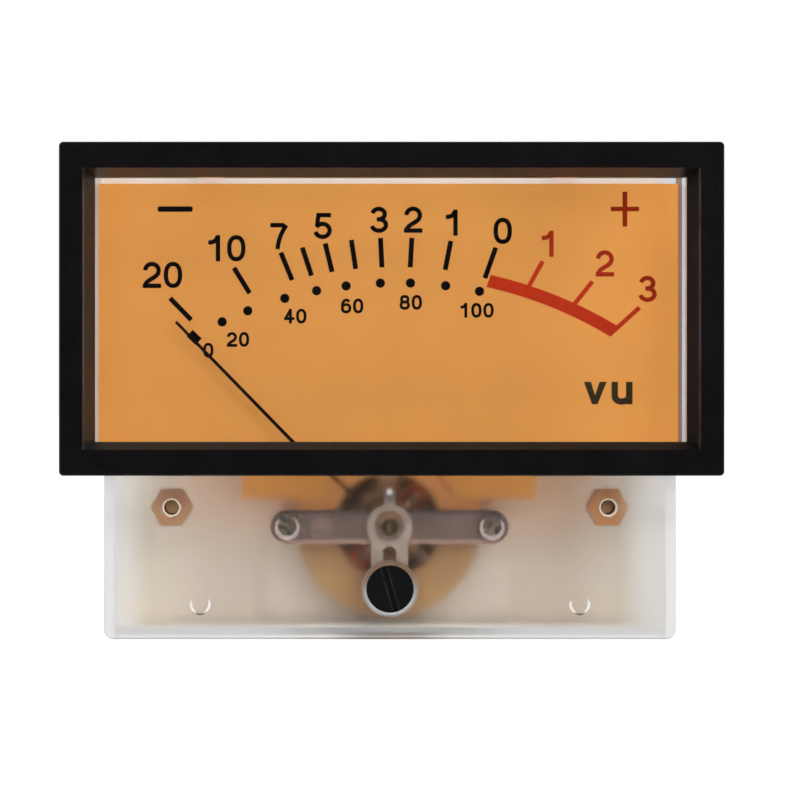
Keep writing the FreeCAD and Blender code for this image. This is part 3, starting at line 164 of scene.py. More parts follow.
class StageSettings(PropertyGroup):
    """Camera, light and floor."""
    camera_x: length("Camera X", "Camera's place across", -11.04)
    camera_y: length("Camera Y", "Camera's distance in front", -400.0)
    camera_z: length("Camera Z", "Camera's height", 14.86)
    lens: plain("Lens", "Focal length in millimetres", 130.43)
    shift: plain("Shift", "Sideways shift of the lens", 0.1125)
    sky: plain("Sky level", "Brightness of the studio round the meter", 0.56)
    front_sky: plain("Front sky level", "Brightness of the dark card round the camera", 0.02)
    ring_sky: plain("Ring level", "Brightness of the ring of light round that card", 3.6)
    key: plain("Key lamp", "Power of the large lamp in watts", 1.9)
    fill: plain("Fill lamp", "Power of the second lamp in watts", 1.05)


# ---------------------------------------------------------------- meshes

def unit(vectors):
    """Each row divided by its own length."""
    return vectors / np.linalg.norm(vectors, axis=-1, keepdims=True)


def grid_faces(rows, columns, wrap_rows=False, wrap_columns=False):
    """Quads of a grid of points kept row by row; a wrapped side joins its last line to its first."""
    i = np.arange(rows if wrap_rows else rows - 1)[:, None]
    j = np.arange(columns if wrap_columns else columns - 1)[None, :]
    corners = [(i, j), (i, j + 1), (i + 1, j + 1), (i + 1, j)]
    quads = [(a % rows) * columns + (b % columns) for a, b in corners]
    shape = np.broadcast(i, j).shape
    return np.stack([np.broadcast_to(quad, shape) for quad in quads], axis=-1).reshape(-1, 4)


def both_sides(x):
    """A place on the left and its mirror image on the right."""
    return -x, x


def joined(parts):
    """One set of points and faces from several."""
    counts = np.cumsum([0] + [len(points) for points, _ in parts])
    points = np.concatenate([points for points, _ in parts])
    faces = np.concatenate([faces + start for (_, faces), start in zip(parts, counts)])
    return points, faces


def add_piece(name, parts, finish, body, smooth=False):
    """Make a closed mesh from points in millimetres, merge its doubles and turn its faces outwards."""
    points, faces = joined(parts)
    mesh = bpy.data.meshes.new(name)
    mesh.from_pydata((points * MM).tolist(), [], faces.tolist())
    shape = bmesh.new()
    shape.from_mesh(mesh)
    bmesh.ops.remove_doubles(shape, verts=shape.verts, dist=1e-4 * MM)
    bmesh.ops.recalc_face_normals(shape, faces=shape.faces)
    shape.to_mesh(mesh)
    shape.free()
    mesh.polygons.foreach_set("use_smooth", [smooth] * len(mesh.polygons))
    mesh.materials.append(finish)
    piece = bpy.data.objects.new(name, mesh)
    bpy.context.scene.collection.objects.link(piece)
    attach(piece, body)
    return piece


def slab_between(left, right, front, back):
    """Closed solid between two edge lines in the dial's plane: section (left, right) at both depths."""
    def at(line, depth):
        return np.stack([line[:, 0], np.full(len(line), depth), line[:, 1]], axis=-1)

    rows = np.stack([at(left, front), at(right, front), at(right, back), at(left, back)], axis=1)
    count = len(left)
    sides = grid_faces(count, 4, wrap_columns=True)
    ends = np.array([[3, 2, 1, 0], [4 * count - 4, 4 * count - 3, 4 * count - 2, 4 * count - 1]])
    return rows.reshape(-1, 3), np.concatenate([sides, ends])


def ring_between(left, right, front, back):
    """As slab_between, for two closed lines."""
    points, _ = slab_between(left, right, front, back)
    return points, grid_faces(len(left), 4, wrap_rows=True, wrap_columns=True)


def edge_lines(path, width, closed=False, corner=0.0):
    """Two lines half the width to each side of a path, mitred at its corners.

    At an open end with a corner radius r the line is drawn in by r(1 - sin a) at r(1 - cos a)
    from the end, for a from 0 to 90 degrees.
    """
    path = np.asarray(path, float)
    half = np.full(len(path), width / 2)
    if corner and not closed:
        turn = np.radians([0.0, 30.0, 60.0, 90.0])
        along, drawn = corner * (1 - np.cos(turn)), width / 2 - corner * (1 - np.sin(turn))
        first, last = unit(path[1] - path[0]), unit(path[-2] - path[-1])
        start = path[0] + along[:, None] * first
        end = path[-1] + along[::-1, None] * last
        path = np.concatenate([start, path[1:-1], end])
        half = np.concatenate([drawn, half[1:-1], drawn[::-1]])
    ahead = np.roll(path, -1, axis=0) - path
    if not closed:
        ahead[-1] = ahead[-2]
    ahead = unit(ahead)
    behind = np.roll(ahead, 1, axis=0)
    if not closed:
        behind[0] = ahead[0]
    tangent = unit(ahead + behind)
    reach = half / np.sum(tangent * ahead, axis=-1)
    side = np.stack([-tangent[:, 1], tangent[:, 0]], axis=-1) * reach[:, None]
    return path + side, path - side


def stroke(path, width, front, back, closed=False, corner=0.0):
    """Flat strip of rectangular section along a path in the dial's plane."""
    left, right = edge_lines(path, width, closed, corner)
    make = ring_between if closed else slab_between
    return make(left, right, front, back)


def turned(profile, centre, steps=32):
    """Surface of revolution about the line through centre along Y: a profile point (r, y) at angle a
    lies at (r cos a, y, r sin a)."""
    profile = np.asarray(profile, float)
    angle = np.linspace(0, 2 * np.pi, steps, endpoint=False)[:, None]
    points = np.stack([profile[:, 0] * np.cos(angle),
                       np.broadcast_to(profile[:, 1], (steps, len(profile))),
                       profile[:, 0] * np.sin(angle)], axis=-1)
    faces = grid_faces(steps, len(profile), wrap_rows=True, wrap_columns=True)
    return points.reshape(-1, 3) + np.asarray(centre, float), faces


def bead(centre, radius, height, lean=0.7):
    """A drop that stands forward on a flat foot: y = -h(1 - (r/R)^2)^lean."""
    share = np.sin(np.radians(np.linspace(0, 90, 9)))
    outline = np.stack([radius * share, -height * (1 - share ** 2) ** lean], axis=-1)
    return turned(np.concatenate([outline, [[0.0, 0.0]]]), centre, 24)


def round_rim(centre, radius, half_width, half_depth):
    """A ring about the Y direction whose section is the ellipse (w cos a, d sin a)."""
    angle = np.linspace(0, 2 * np.pi, 16, endpoint=False)
    profile = np.stack([radius + half_width * np.cos(angle), half_depth * np.sin(angle)], axis=-1)
    return turned(profile, centre, 64)


def rim_arc(centre, radius, half_width, half_depth, start, end):
    """Part of such a ring that thins out towards both ends as sin(pi t)^0.5."""
    share = np.linspace(0.02, 0.98, 40)
    turn = np.radians(start + (end - start) * share)
    out = np.stack([np.cos(turn), np.zeros(40), np.sin(turn)], axis=-1)
    back = np.broadcast_to([0.0, half_depth / half_width, 0.0], out.shape)
    thick = half_width * np.sin(np.pi * share) ** 0.5
    return tube(np.array(centre) + out * radius, back, out, thick, 12)


def tube(path, across, out, radius, sides=6):
    """Round wire along a path, with two unit directions at right angles to it at each point."""
    angle = np.linspace(0, 2 * np.pi, sides, endpoint=False)[None, :, None]
    thick = np.broadcast_to(radius, len(path))[:, None, None]
    rings = path[:, None] + thick * (np.cos(angle) * out[:, None] + np.sin(angle) * across[:, None])
    faces = grid_faces(len(path), sides, wrap_columns=True)
    points = np.concatenate([rings.reshape(-1, 3), path[:1], path[-1:]])
    ring = np.arange(sides)
    start, end = len(points) - 2, len(points) - 1
    near = np.stack([ring, np.roll(ring, -1), np.full(sides, start), np.full(sides, start)], axis=-1)
    far = near + (len(path) - 1) * sides
    far[:, 2:] = end
    return points, np.concatenate([faces, near, far])


# ---------------------------------------------------------------- scale printing

# Marks and dots by their angle in degrees, clockwise from upright. Numerals by the X and Z of their
# middle and signs by the ends of their lines, in millimetres.
SCALE_MARK_ANGLES = (-44.28, -31.68, -22.48, -18.27, -13.78, -8.63, -2.89, 3.28, 10.92)
ZERO_MARK_ANGLE = 19.67
RED_MARK_ANGLES = (28.83, 38.54, 47.8)
DOT_ANGLES = (-25.25, -21.33, -15.86, -11.27, -7.08, -2.26, 1.96, 6.90, 11.72)
SCALE_NUMBERS = (("20", -31.78, 32.45), ("10", -22.88, 36.20), ("7", -15.33, 37.91),
                 ("5", -9.26, 39.32), ("3", -1.34, 40.20), ("2", 3.47, 40.22),
                 ("1", 9.03, 39.80), ("0", 16.06, 38.64))
RED_NUMBERS = (("1", 22.52, 36.83), ("2", 30.41, 34.07), ("3", 36.41, 30.48))
PERCENT_NUMBERS = (("0", -25.34, 21.86), ("20", -21.16, 23.38), ("40", -13.11, 26.65),
                   ("60", -5.11, 28.08), ("80", 3.13, 28.59), ("100", 12.36, 27.47))
BLOCK_MARK, BLOCK_LONG, BLOCK_WIDE = (-27.33, 23.66), 1.76, 1.27
MINUS_LINE = ((-32.46, 41.70), (-27.52, 41.70))
PLUS_LEVEL = ((31.24, 41.72), (35.24, 41.72))
PLUS_UPRIGHT = ((33.23, 39.24), (33.23, 44.15))
LETTER_TOP, LETTER_FOOT = 17.42, 14.28


def arc(x, y, rx, ry, start, end, count=18):
    """Points on an ellipse, from one angle to another, in degrees anticlockwise from +X."""
    angle = np.radians(np.linspace(start, end, count))
    return np.stack([x + rx * np.cos(angle), y + ry * np.sin(angle)], axis=-1)


def oval(x, y, rx, ry, count=36, power=2.35):
    """Closed superellipse |x/rx|^p + |y/ry|^p = 1."""
    angle = np.linspace(0, 2 * np.pi, count, endpoint=False)
    c, s = np.cos(angle), np.sin(angle)
    return np.stack([x + rx * np.sign(c) * np.abs(c) ** (2 / power),
                     y + ry * np.sign(s) * np.abs(s) ** (2 / power)], axis=-1)


def curve(a, b, c, d, count=14):
    """Cubic through a and d, leaving a towards b and reaching d from c."""
    t = np.linspace(0, 1, count)[:, None]
    weights = ((1 - t) ** 3, 3 * t * (1 - t) ** 2, 3 * t ** 2 * (1 - t), t ** 3)
    return sum(np.array(point) * weight for point, weight in zip((a, b, c, d), weights))


def numeral_strokes(ex, ey):
    """Centre lines of the numerals in a unit box, open ones first and closed ones second.

    ex and ey are the ink's half width as a share of the box, which an end at the ink's edge adds.
    """
    two = np.concatenate([arc(0.5, 0.70, 0.48, 0.30, 178, -32),
                          curve((0.907, 0.541), (0.70, 0.33), (0.06, 0.27), (0.02, 0.0))[1:]])
    three_top = np.concatenate([arc(0.48, 0.76, 0.43, 0.24, 172, -90), [[0.34, 0.52]]])
    three_low = np.concatenate([[[0.34, 0.52]], arc(0.5, 0.26, 0.5, 0.26, 90, -172)])
    return {
        "0": ([], [oval(0.5, 0.5, 0.5, 0.5)]),
        "1": ([[(0.695, -ey), (0.695, 1.0 + ey)],
               curve((0.08 - ex * 0.5, 0.76), (0.40, 0.76), (0.56, 0.82), (0.66, 1.0 + ey * 0.4), 8)],
              []),
        "2": ([two, [(-ex, 0.0), (1.0 + ex, 0.0)]], []),
        "3": ([three_top, three_low], []),
        "4": ([[(0.66, 1.0 + ey), (0.66, -ey)], [(0.62, 0.97), (0.06, 0.33)],
               [(-ex, 0.29), (1.0 + ex, 0.29)]], []),
        "5": ([[(0.94 + ex, 1.0), (0.20, 1.0), (0.09, 0.47)],
               arc(0.49, 0.30, 0.51, 0.30, 150, -168)], []),
        "6": ([arc(0.52, 0.52, 0.52, 0.48, 42, 200)], [oval(0.5, 0.31, 0.5, 0.31)]),
        "7": ([[(-ex, 1.0), (0.86, 1.0)],
               curve((1.0, 1.0), (0.66, 0.70), (0.44, 0.38), (0.36, -ey))], []),
        "8": ([], [oval(0.5, 0.76, 0.43, 0.24), oval(0.5, 0.27, 0.5, 0.27)]),
    }


def numerals(text, centre, wide, tall, pitch, thick, front, back):
    """Every stroke of a number, centred on a point of the dial."""
    inner = np.array([wide - thick, tall - thick])
    strokes = numeral_strokes(thick / 2 / inner[0], thick / 2 / inner[1])
    corner = np.array(centre) - np.array([wide + pitch * (len(text) - 1), tall]) / 2 + thick / 2
    parts = []
    for place, figure in enumerate(text):
        shift = corner + np.array([pitch * place, 0.0])
        opened, closed = strokes[figure]
        for order, line in enumerate([*opened, *closed]):
            parts.append(stroke(np.array(line) * inner + shift, thick, front + order * LAYER, back,
                                order >= len(opened), thick * 0.16))
    return parts


def letter_v(front, back):
    """Two limbs that lean together, each between the lines of its left and right edges."""
    foot_left, foot_right = (28.60, LETTER_FOOT), (29.40, LETTER_FOOT)
    return [slab_between(np.array([(left, LETTER_TOP), foot_left]),
                         np.array([(right, LETTER_TOP), foot_right]), front + order * LAYER, back)
            for order, (left, right) in enumerate([(27.46, 28.46), (29.68, 30.68)])]


def letter_u(front, back):
    """A left stem that runs on into the bowl, and a right stem beside it."""
    bowl = np.concatenate([[(31.80, LETTER_TOP)], arc(32.78, 15.42, 0.98, 0.78, 180, 325)])
    stem = [(33.85, LETTER_TOP), (33.85, 14.26)]
    return [stroke(bowl, 0.90, front, back),
            stroke(stem, 0.92, front + LAYER, back, corner=0.08)]


# ---------------------------------------------------------------- materials

class ShadingTree:
    """A node tree that is built up step by step, each input given as a value or a link."""

    def __init__(self, owner):
        owner.use_nodes = True
        self.tree = owner.node_tree
        self.tree.nodes.clear()

    def node(self, kind, inputs=None, **settings):
        """Add a node, give it its settings, then its input values or links."""
        made = self.tree.nodes.new(kind)
        for key, value in settings.items():
            setattr(made, key, value)
        for key, value in (inputs or {}).items():
            if isinstance(value, bpy.types.NodeSocket):
                self.tree.links.new(value, made.inputs[key])
            else:
                made.inputs[key].default_value = value
        return made

    def math(self, operation, a, b=0.0, clamp=False):
        """One arithmetic step."""
        return self.node("ShaderNodeMath", {0: a, 1: b}, operation=operation,
                         use_clamp=clamp).outputs[0]

    def chain(self, operation, value, *others):
        """The same arithmetic step, taken with one value after another."""
        for other in others:
            value = self.math(operation, value, other)
        return value

    def product(self, *values):
        """All values multiplied together."""
        return self.chain("MULTIPLY", *values)

    def total(self, *values):
        """All values added up."""
        return self.chain("ADD", *values)

    def highest(self, *values):
        """The greatest of the values."""
        return self.chain("MAXIMUM", *values)

    def weighted(self, *patterns):
        """Sum of (pattern, weight) pairs."""
        return self.total(*(self.product(pattern, weight) for pattern, weight in patterns))

    def span(self, value, low, high, start=0.0, end=1.0):
        """Value from start to end, carried smoothly to low and high."""
        return self.node("ShaderNodeMapRange", {"Value": value, "From Min": start, "From Max": end,
                                                "To Min": low, "To Max": high},
                         interpolation_type="SMOOTHSTEP").outputs["Result"]

    def follow(self, pattern, low, high):
        """From low to high over the middle of a pattern's range, where most of it lies."""
        return self.span(pattern, low, high, 0.3, 0.7)

    def slope(self, value, low, high, start, end):
        """As span, with start and end in millimetres."""
        return self.span(value, low, high, start * MM, end * MM)

    def past(self, value, start, end, level=1.0):
        """0 up to start, carried smoothly to the level past end, both in millimetres."""
        return self.slope(value, 0.0, level, start, end)

    def until(self, value, start, end, level=1.0):
        """The level up to start, carried smoothly to 0 past end, both in millimetres."""
        return self.slope(value, level, 0.0, start, end)

    def away(self, value, centre=0.0):
        """How far a coordinate is from a centre in millimetres, to either side."""
        return self.math("ABSOLUTE", self.math("SUBTRACT", value, centre * MM))


class Finish(ShadingTree):
    """The nodes of one material, with patterns on Object coordinates."""

    def __init__(self, name):
        self.material = bpy.data.materials.new(name)
        super().__init__(self.material)
        self.place = self.node("ShaderNodeTexCoord").outputs["Object"]

    def axes(self):
        """Object coordinates as three values, in metres."""
        apart = self.node("ShaderNodeSeparateXYZ", {"Vector": self.place}).outputs
        return apart["X"], apart["Y"], apart["Z"]

    def mapped(self, stretch=(1.0, 1.0, 1.0), centre=(0.0, 0.0, 0.0)):
        """Object coordinates about a centre in millimetres, stretched per axis."""
        moved = self.node("ShaderNodeVectorMath", {0: self.place, 1: [c * MM for c in centre]},
                          operation="SUBTRACT")
        return self.node("ShaderNodeVectorMath", {0: moved.outputs[0], 1: stretch},
                         operation="MULTIPLY").outputs[0]

    def from_line(self, across, height):
        """Distance in metres from the line along Y at this X and Z, in millimetres."""
        level = self.mapped((1.0, 0.0, 1.0), (across, 0.0, height))
        return self.node("ShaderNodeVectorMath", {0: level}, operation="LENGTH").outputs["Value"]

    def from_lines(self, across, height):
        """As from_line, to the nearer of two lines at this X and its mirror image."""
        return self.math("MINIMUM", self.from_line(across, height), self.from_line(-across, height))

    def noise(self, size, detail=2.0, stretch=(1.0, 1.0, 1.0)):
        """Cloud pattern whose lumps are about size millimetres wide."""
        return self.node("ShaderNodeTexNoise", {"Vector": self.mapped(stretch), "Detail": detail,
                                                "Scale": 0.5 / (size * MM)}).outputs["Fac"]

    def cells(self, size):
        """Distance pattern of irregular cells about size millimetres wide."""
        return self.node("ShaderNodeTexVoronoi", {"Vector": self.place,
                                                  "Scale": 1 / (size * MM)}).outputs["Distance"]

    def blend(self, factor, first, second):
        """Colour that goes from the first to the second as the factor goes from 0 to 1."""
        ends = {socket: end if isinstance(end, bpy.types.NodeSocket) else (*end[:3], 1.0)
                for socket, end in ((6, first), (7, second))}
        return self.node("ShaderNodeMix", {0: factor, **ends}, data_type="RGBA").outputs[2]

    def tint(self, factor, *stops):
        """Colour ramp through (position, colour) stops."""
        ramp = self.node("ShaderNodeValToRGB", {"Fac": factor})
        while len(ramp.color_ramp.elements) < len(stops):
            ramp.color_ramp.elements.new(0.5)
        for element, (position, tone) in zip(ramp.color_ramp.elements, stops):
            element.position = position
            element.color = (*tone[:3], 1.0)
        return ramp.outputs["Color"]

    def mottled(self, pattern, base, first, last, start=0.3, end=0.7):
        """The base colour, times first up to the start of a pattern and times last past its end."""
        return self.tint(pattern, (start, shade(base, first)), (end, shade(base, last)))

    def bump(self, height, depth):
        """Surface relief, with its depth in millimetres."""
        return self.node("ShaderNodeBump", {"Height": height, "Strength": 1.0,
                                            "Distance": depth * MM}).outputs["Normal"]

    def surface(self, **sockets):
        """Principled surface; an underscore in a socket's name stands for a space."""
        inputs = {key.replace("_", " "): value for key, value in sockets.items()}
        return self.node("ShaderNodeBsdfPrincipled", inputs).outputs["BSDF"]

    def lets_light_in(self, shader, tone):
        """Shadow rays pass the surface, tinted by a tone, so what is behind it stays lit."""
        path = self.node("ShaderNodeLightPath")
        clear = self.node("ShaderNodeBsdfTransparent", {"Color": (*tone, 1.0)})
        mix = self.node("ShaderNodeMixShader", {0: path.outputs["Is Shadow Ray"], 1: shader,
                                                2: clear.outputs[0]})
        return mix.outputs[0]

    def done(self, shader):
        """Join a shader to the output and hand the material over."""
        self.node("ShaderNodeOutputMaterial", {"Surface": shader})
        return self.material

    def finished(self, **sockets):
        """Hand the material over with a Principled surface that has these sockets."""
        return self.done(self.surface(**sockets))


def shade(base, factor):
    """A colour made lighter or darker."""
    return filtered(base, factor, factor, factor)


def filtered(base, *factors):
    """A colour with its red, green and blue each made lighter or darker."""
    return tuple(min(1.0, channel * factor) for channel, factor in zip(base[:3], factors))


def moulded(name, base, grain=0.12, relief=0.004, roughness=(0.40, 0.52), specular=0.5,
            vary=0.12, cloud=3.0):
    """Moulded plastic: a spark-eroded grain, faint clouds of tone and a roughness that follows them."""
    f = Finish(name)
    fine = f.noise(grain)
    tone = f.weighted((f.noise(cloud, 3.0), 0.6), (fine, 0.4))
    return f.finished(Base_Color=f.mottled(tone, base, 1 - vary, 1 + vary),
                      Roughness=f.follow(tone, *roughness), Normal=f.bump(fine, relief),
                      Specular_IOR_Level=specular)


def case_moulding(base):
    """Ivory plastic: inside, warmer towards the top and darker on the right; paler near the side
    walls, which is painted light; and amber inside the round cup behind the movement."""
    pale, amber = (0.85, 0.785, 0.685), (0.66, 0.37, 0.17)
    inner_top, inner_foot = CASE_TOP - SHELL_WALL, CASE_FOOT + SHELL_WALL
    f = Finish("case_ivory")
    x, y, z = f.axes()
    across = f.away(x)
    inside = f.product(f.until(y, 16.8, 17.3), f.until(across, 38.2, 38.8),
                       f.until(z, inner_top + 0.2, inner_top + 0.8),
                       f.past(z, inner_foot - 1.0, inner_foot - 0.6))
    # Painted light: paler ivory inside near the side walls, for light the frosted walls let in.
    beside = f.product(inside, f.past(across, 25.0, 34.0))
    warm = f.product(inside, f.past(z, -10.0, 3.0))
    right = f.product(inside, f.past(x, 10.0, 26.0))
    cup = f.product(f.until(f.from_line(0.0, PIVOT.z), 14.1, 14.4), f.past(y, 17.0, 17.6),
                    f.until(y, 24.2, 24.5))

    fine = f.noise(0.18)
    tone = f.weighted((f.noise(3.0, 3.0), 0.6), (fine, 0.4))
    clean = f.blend(right, f.mottled(tone, base, 0.95, 1.05), filtered(base, 0.94, 0.92, 0.90))
    warmer = f.blend(right, filtered(base, 1.22, 1.02, 0.90), filtered(base, 0.96, 0.72, 0.55))
    skin = f.blend(beside, f.blend(warm, clean, warmer), pale)
    return f.finished(Base_Color=f.blend(cup, skin, amber), Roughness=f.follow(tone, 0.45, 0.6),
                      Normal=f.bump(fine, 0.006), Specular_IOR_Level=0.4)


def cast_grains(f, size):
    """Coarse grains of cast or plated metal, and the grains with broad clouds of tone."""
    grains = f.noise(size, 1.0)
    return grains, f.weighted((grains, 0.75), (f.noise(2.0, 3.0), 0.25))


def cast_metal(f, grains, skin, metallic):
    """Hand over cast or plated metal, its relief and polish following its grains."""
    return f.finished(Base_Color=skin, Metallic=metallic, Normal=f.bump(grains, 0.02),
                      Roughness=f.follow(grains, 0.38, 0.56))


def speckled(name, base, metallic, speck, contrast):
    """Metal with a coarse plated or cast surface: dark pits and light grains side by side."""
    f = Finish(name)
    grains, tone = cast_grains(f, speck)
    skin = f.tint(tone, (0.38, shade(base, 1 - contrast)), (0.5, base),
                  (0.60, shade(base, 1 + contrast * 1.3)))
    return cast_metal(f, grains, skin, metallic)


def bridge_casting(base):
    """Die-cast bridge: coarse dark grains, two round ejector marks worn paler, a painted highlight
    along its lower edge, a painted shadow along its top edge and browner above its middle."""
    brown = (0.26, 0.125, 0.048)
    low, high = (corner.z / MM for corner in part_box("front_bridge"))
    f = Finish("bridge_casting")
    x, _, z = f.axes()
    rubbed_and_highlit = f.product(f.until(f.from_lines(9.35, PIVOT.z + 0.5), 1.0, 1.35),
                       f.slope(x, 0.30, 0.12, -2.0, 2.0))
    # Painted highlight along the lower edge; painted shadow along the top edge.
    bright = f.until(z, low + 0.40, low + 0.80, 0.60)
    painted_top_shadow = f.past(z, high - 0.75, high - 0.25, 0.9)
    darker_above = f.product(f.until(f.from_line(0.0, PIVOT.z), 2.3, 2.6, 0.85),
                      f.past(z, PIVOT.z + 0.2, PIVOT.z + 1.5))
    grains, tone = cast_grains(f, 0.16)
    cast = f.tint(tone, (0.34, shade(base, 0.4)), (0.5, base), (0.64, shade(base, 1.7)))
    skin = f.blend(f.highest(rubbed_and_highlit, bright), cast, shade(base, 3.2))
    skin = f.blend(darker_above, f.blend(painted_top_shadow, skin, shade(base, 0.2)), brown)
    return cast_metal(f, grains, skin, 0.3)


def metal(name, base, grain, relief, roughness, vary=0.15, cloud=1.2):
    """Worked metal: drawn or cast grain, patches of dulled tone and uneven polish."""
    f = Finish(name)
    patches = f.noise(cloud, 4.0)
    smooth, rough = roughness
    return f.finished(Base_Color=f.mottled(patches, base, 1 - vary, 1 + vary), Metallic=1.0,
                      Normal=f.bump(f.noise(grain), relief),
                      Roughness=f.follow(patches, rough, smooth))


def lever_alloy(base):
    """Zero lever: dull worked metal, browned above its bore and darker on its tab."""
    brown = (0.22, 0.11, 0.045)
    f = Finish("lever_alloy")
    _, _, z = f.axes()
    patches = f.noise(1.5, 4.0)
    darker_tab = f.past(z, PIVOT.z + 3.1, PIVOT.z + 3.7, 0.60)
    browned = f.product(f.until(f.from_line(0.0, PIVOT.z), 2.15, 2.35, 0.85),
                        f.past(z, PIVOT.z + 0.2, PIVOT.z + 1.4))
    skin = f.blend(darker_tab, f.mottled(patches, base, 0.85, 1.15), shade(base, 0.2))
    return f.finished(Base_Color=f.blend(browned, skin, brown), Metallic=0.3,
                      Normal=f.bump(f.noise(0.12), 0.006), Roughness=f.follow(patches, 0.58, 0.42))


def collar_masks(f, z):
    """The zero screw's collar: where a painted highlight makes it milky low down, where painted
    shade darkens it above, and the painted shade line along its lower half."""
    from_screw = f.from_line(0.0, SCREW.z)
    ring = f.until(from_screw, 3.86, 3.96)
    # Painted highlight: a milky crescent low on the collar. Painted shade above it and along its line.
    lip = f.product(f.slope(from_screw, 0.60, 0.12, 3.36, 3.50), f.until(z, -14.4, -10.4))
    line = f.product(f.past(from_screw, 3.74, 3.80), f.until(z, -11.5, -9.5))
    milk = f.product(ring, f.highest(lip, f.product(line, 0.5)))
    return milk, f.product(ring, f.past(z, -12.4, -9.0)), f.product(ring, line)


def frosted_shell(base):
    """Frosted plastic: rough all through, milkier where its walls are seen edge on, with a brown sill
    inside the lower wall. As painted light it is milkier near the side walls and glows along its
    front below the window; it has a painted highlight and painted shade on the screw's collar,
    and a painted shadow in the middle of its foot."""
    inner_foot = CASE_FOOT + SHELL_WALL
    f = Finish("frosted_shell")
    x, y, z = f.axes()
    across, front = f.away(x), f.until(y, 0.2, 0.6)
    side = f.past(across, 37.2, 38.2, 0.85)
    # Painted light: milkier near the side walls, to brighten the shade inside them.
    near = f.highest(f.until(x, -37.4, -33.0, 0.34), f.past(x, 31.0, 36.5, 0.36))
    below = f.highest(f.until(z, inner_foot - 0.20, inner_foot - 0.02),
                      f.product(front, f.until(z, inner_foot - 0.05, inner_foot + 0.25)))
    # Less milky in the middle of the foot, as part of the painted shadow there.
    foot = f.product(below, f.slope(across, 0.36, 0.66, 6.0, 20.0))
    sill = f.product(f.past(y, 1.6, 2.0), f.until(z, inner_foot + 0.04, inner_foot + 0.10),
                     f.past(z, inner_foot - 0.15, inner_foot - 0.05))
    # Painted shadow: darker in the middle of the foot.
    painted_heel_shadow = f.product(f.until(across, 2.0, 10.0), f.until(z, inner_foot - 0.9, inner_foot - 0.3))
    milk, darker_above, line = collar_masks(f, z)
    # Painted shade on the screw's collar: darker above and along its dark line.
    tone = f.blend(darker_above, base, filtered(base, 0.66, 0.50, 0.38))
    tone = f.blend(line, tone, filtered(base, 0.42, 0.35, 0.31))
    tone = f.blend(sill, tone, filtered(base, 0.66, 0.64, 0.58))
    tone = f.blend(painted_heel_shadow, tone, filtered(base, 0.55, 0.50, 0.46))

    # Painted light: a glow along the front just below the bezel, where its shade falls.
    painted_glow = f.product(front, f.past(z, -1.5, 5.0, 0.32), f.until(z, 5.2, 5.6),
                      f.past(across, 30.0, 38.5))
    sparkle, clouds = f.noise(0.07, 1.0), f.noise(2.5)
    veil = f.math("ADD", f.product(sparkle, 0.01), f.highest(side, near, foot, milk), clamp=True)
    # Under a roughness of 0.274 the denoiser follows what lies behind, and the frosting looks grainy.
    skin = f.surface(
        Base_Color=tone, Roughness=f.span(clouds, 0.276, 0.290, 0.35, 0.65), IOR=1.49,
        Specular_IOR_Level=0.5, Specular_Tint=(0.06, 0.06, 0.06, 1.0),
        Transmission_Weight=f.math("SUBTRACT", 1.0, veil), Normal=f.bump(sparkle, 0.0001),
        Emission_Color=(0.97, 0.96, 0.95, 1.0), Emission_Strength=painted_glow)
    return f.done(f.lets_light_in(skin, (0.95, 0.95, 0.94)))


def bezel_moulding(base):
    """Black plastic: spark-eroded and nearly matt outside, shinier inside the mouth and most on its
    left slope, duller on its lower slope, with a painted highlight on the mouth's side edges."""
    half_wide, half_tall = 41.8, 19.05
    black, white, rubbed_and_highlit = (0.0, 0.0, 0.0), (1.0, 1.0, 1.0), (0.062, 0.053, 0.053)
    f = Finish("bezel_black")
    x, _, z = f.axes()
    beside, rise = f.away(x), f.away(z, BEZEL.z)
    mouth = f.product(f.until(beside, half_wide - 0.10, half_wide + 0.05),
                      f.until(rise, half_tall - 0.10, half_tall + 0.05))
    lower = f.product(mouth, f.until(z, 9.0, 9.6))
    right = f.product(mouth, f.past(x, 39.0, 40.0))
    fine, clouds = f.noise(0.10), f.noise(2.5, 3.0)
    # Painted highlight: the mouth's side edges are painted paler, as if they caught the light.
    edge = f.product(mouth, f.past(beside, half_wide - 0.30, half_wide - 0.20),
                     f.span(clouds, 0.3, 1.0, 0.3, 0.6))
    dull = f.highest(f.product(lower, 0.30), f.product(right, 0.22))
    polish = f.math("SUBTRACT", f.product(mouth, 0.10), dull)
    shine = f.slope(x, 0.90, 0.05, -41.5, 41.5)
    gloss = f.total(f.product(mouth, shine), f.follow(fine, 0.03, 0.09))
    return f.finished(Base_Color=f.blend(edge, f.mottled(clouds, base, 0.7, 1.2), rubbed_and_highlit), IOR=1.43,
                      Roughness=f.math("SUBTRACT", f.follow(fine, 0.42, 0.52), polish),
                      Specular_Tint=f.tint(gloss, (0.0, black), (1.0, white)),
                      Normal=f.bump(fine, 0.005))


def adjuster_moulding(base):
    """Polished black plastic with a painted glint along its slot's two edges."""
    tilt, slot_half, painted_glint = math.radians(16.0), 0.43, (0.024, 0.025, 0.029)
    f = Finish("adjuster_black")
    over = f.node("ShaderNodeVectorMath", {0: f.mapped(centre=(0.0, 0.0, SCREW.z)),
                                           1: (math.cos(tilt), 0.0, math.sin(tilt))},
                  operation="DOT_PRODUCT").outputs["Value"]
    # Painted glint: the slot's two edges are painted pale, as if they caught the light.
    painted_glint_mask = f.product(f.until(f.away(f.away(over), slot_half), 0.04, 0.20),
                     f.span(f.noise(0.7, 3.0), 0.3, 1.0, 0.3, 0.6))
    polish = f.noise(0.3)
    return f.finished(Base_Color=f.tint(painted_glint_mask, (0.0, base), (1.0, painted_glint)),
                      Roughness=f.span(polish, 0.16, 0.24), Specular_IOR_Level=0.06,
                      Normal=f.bump(polish, 0.0015))


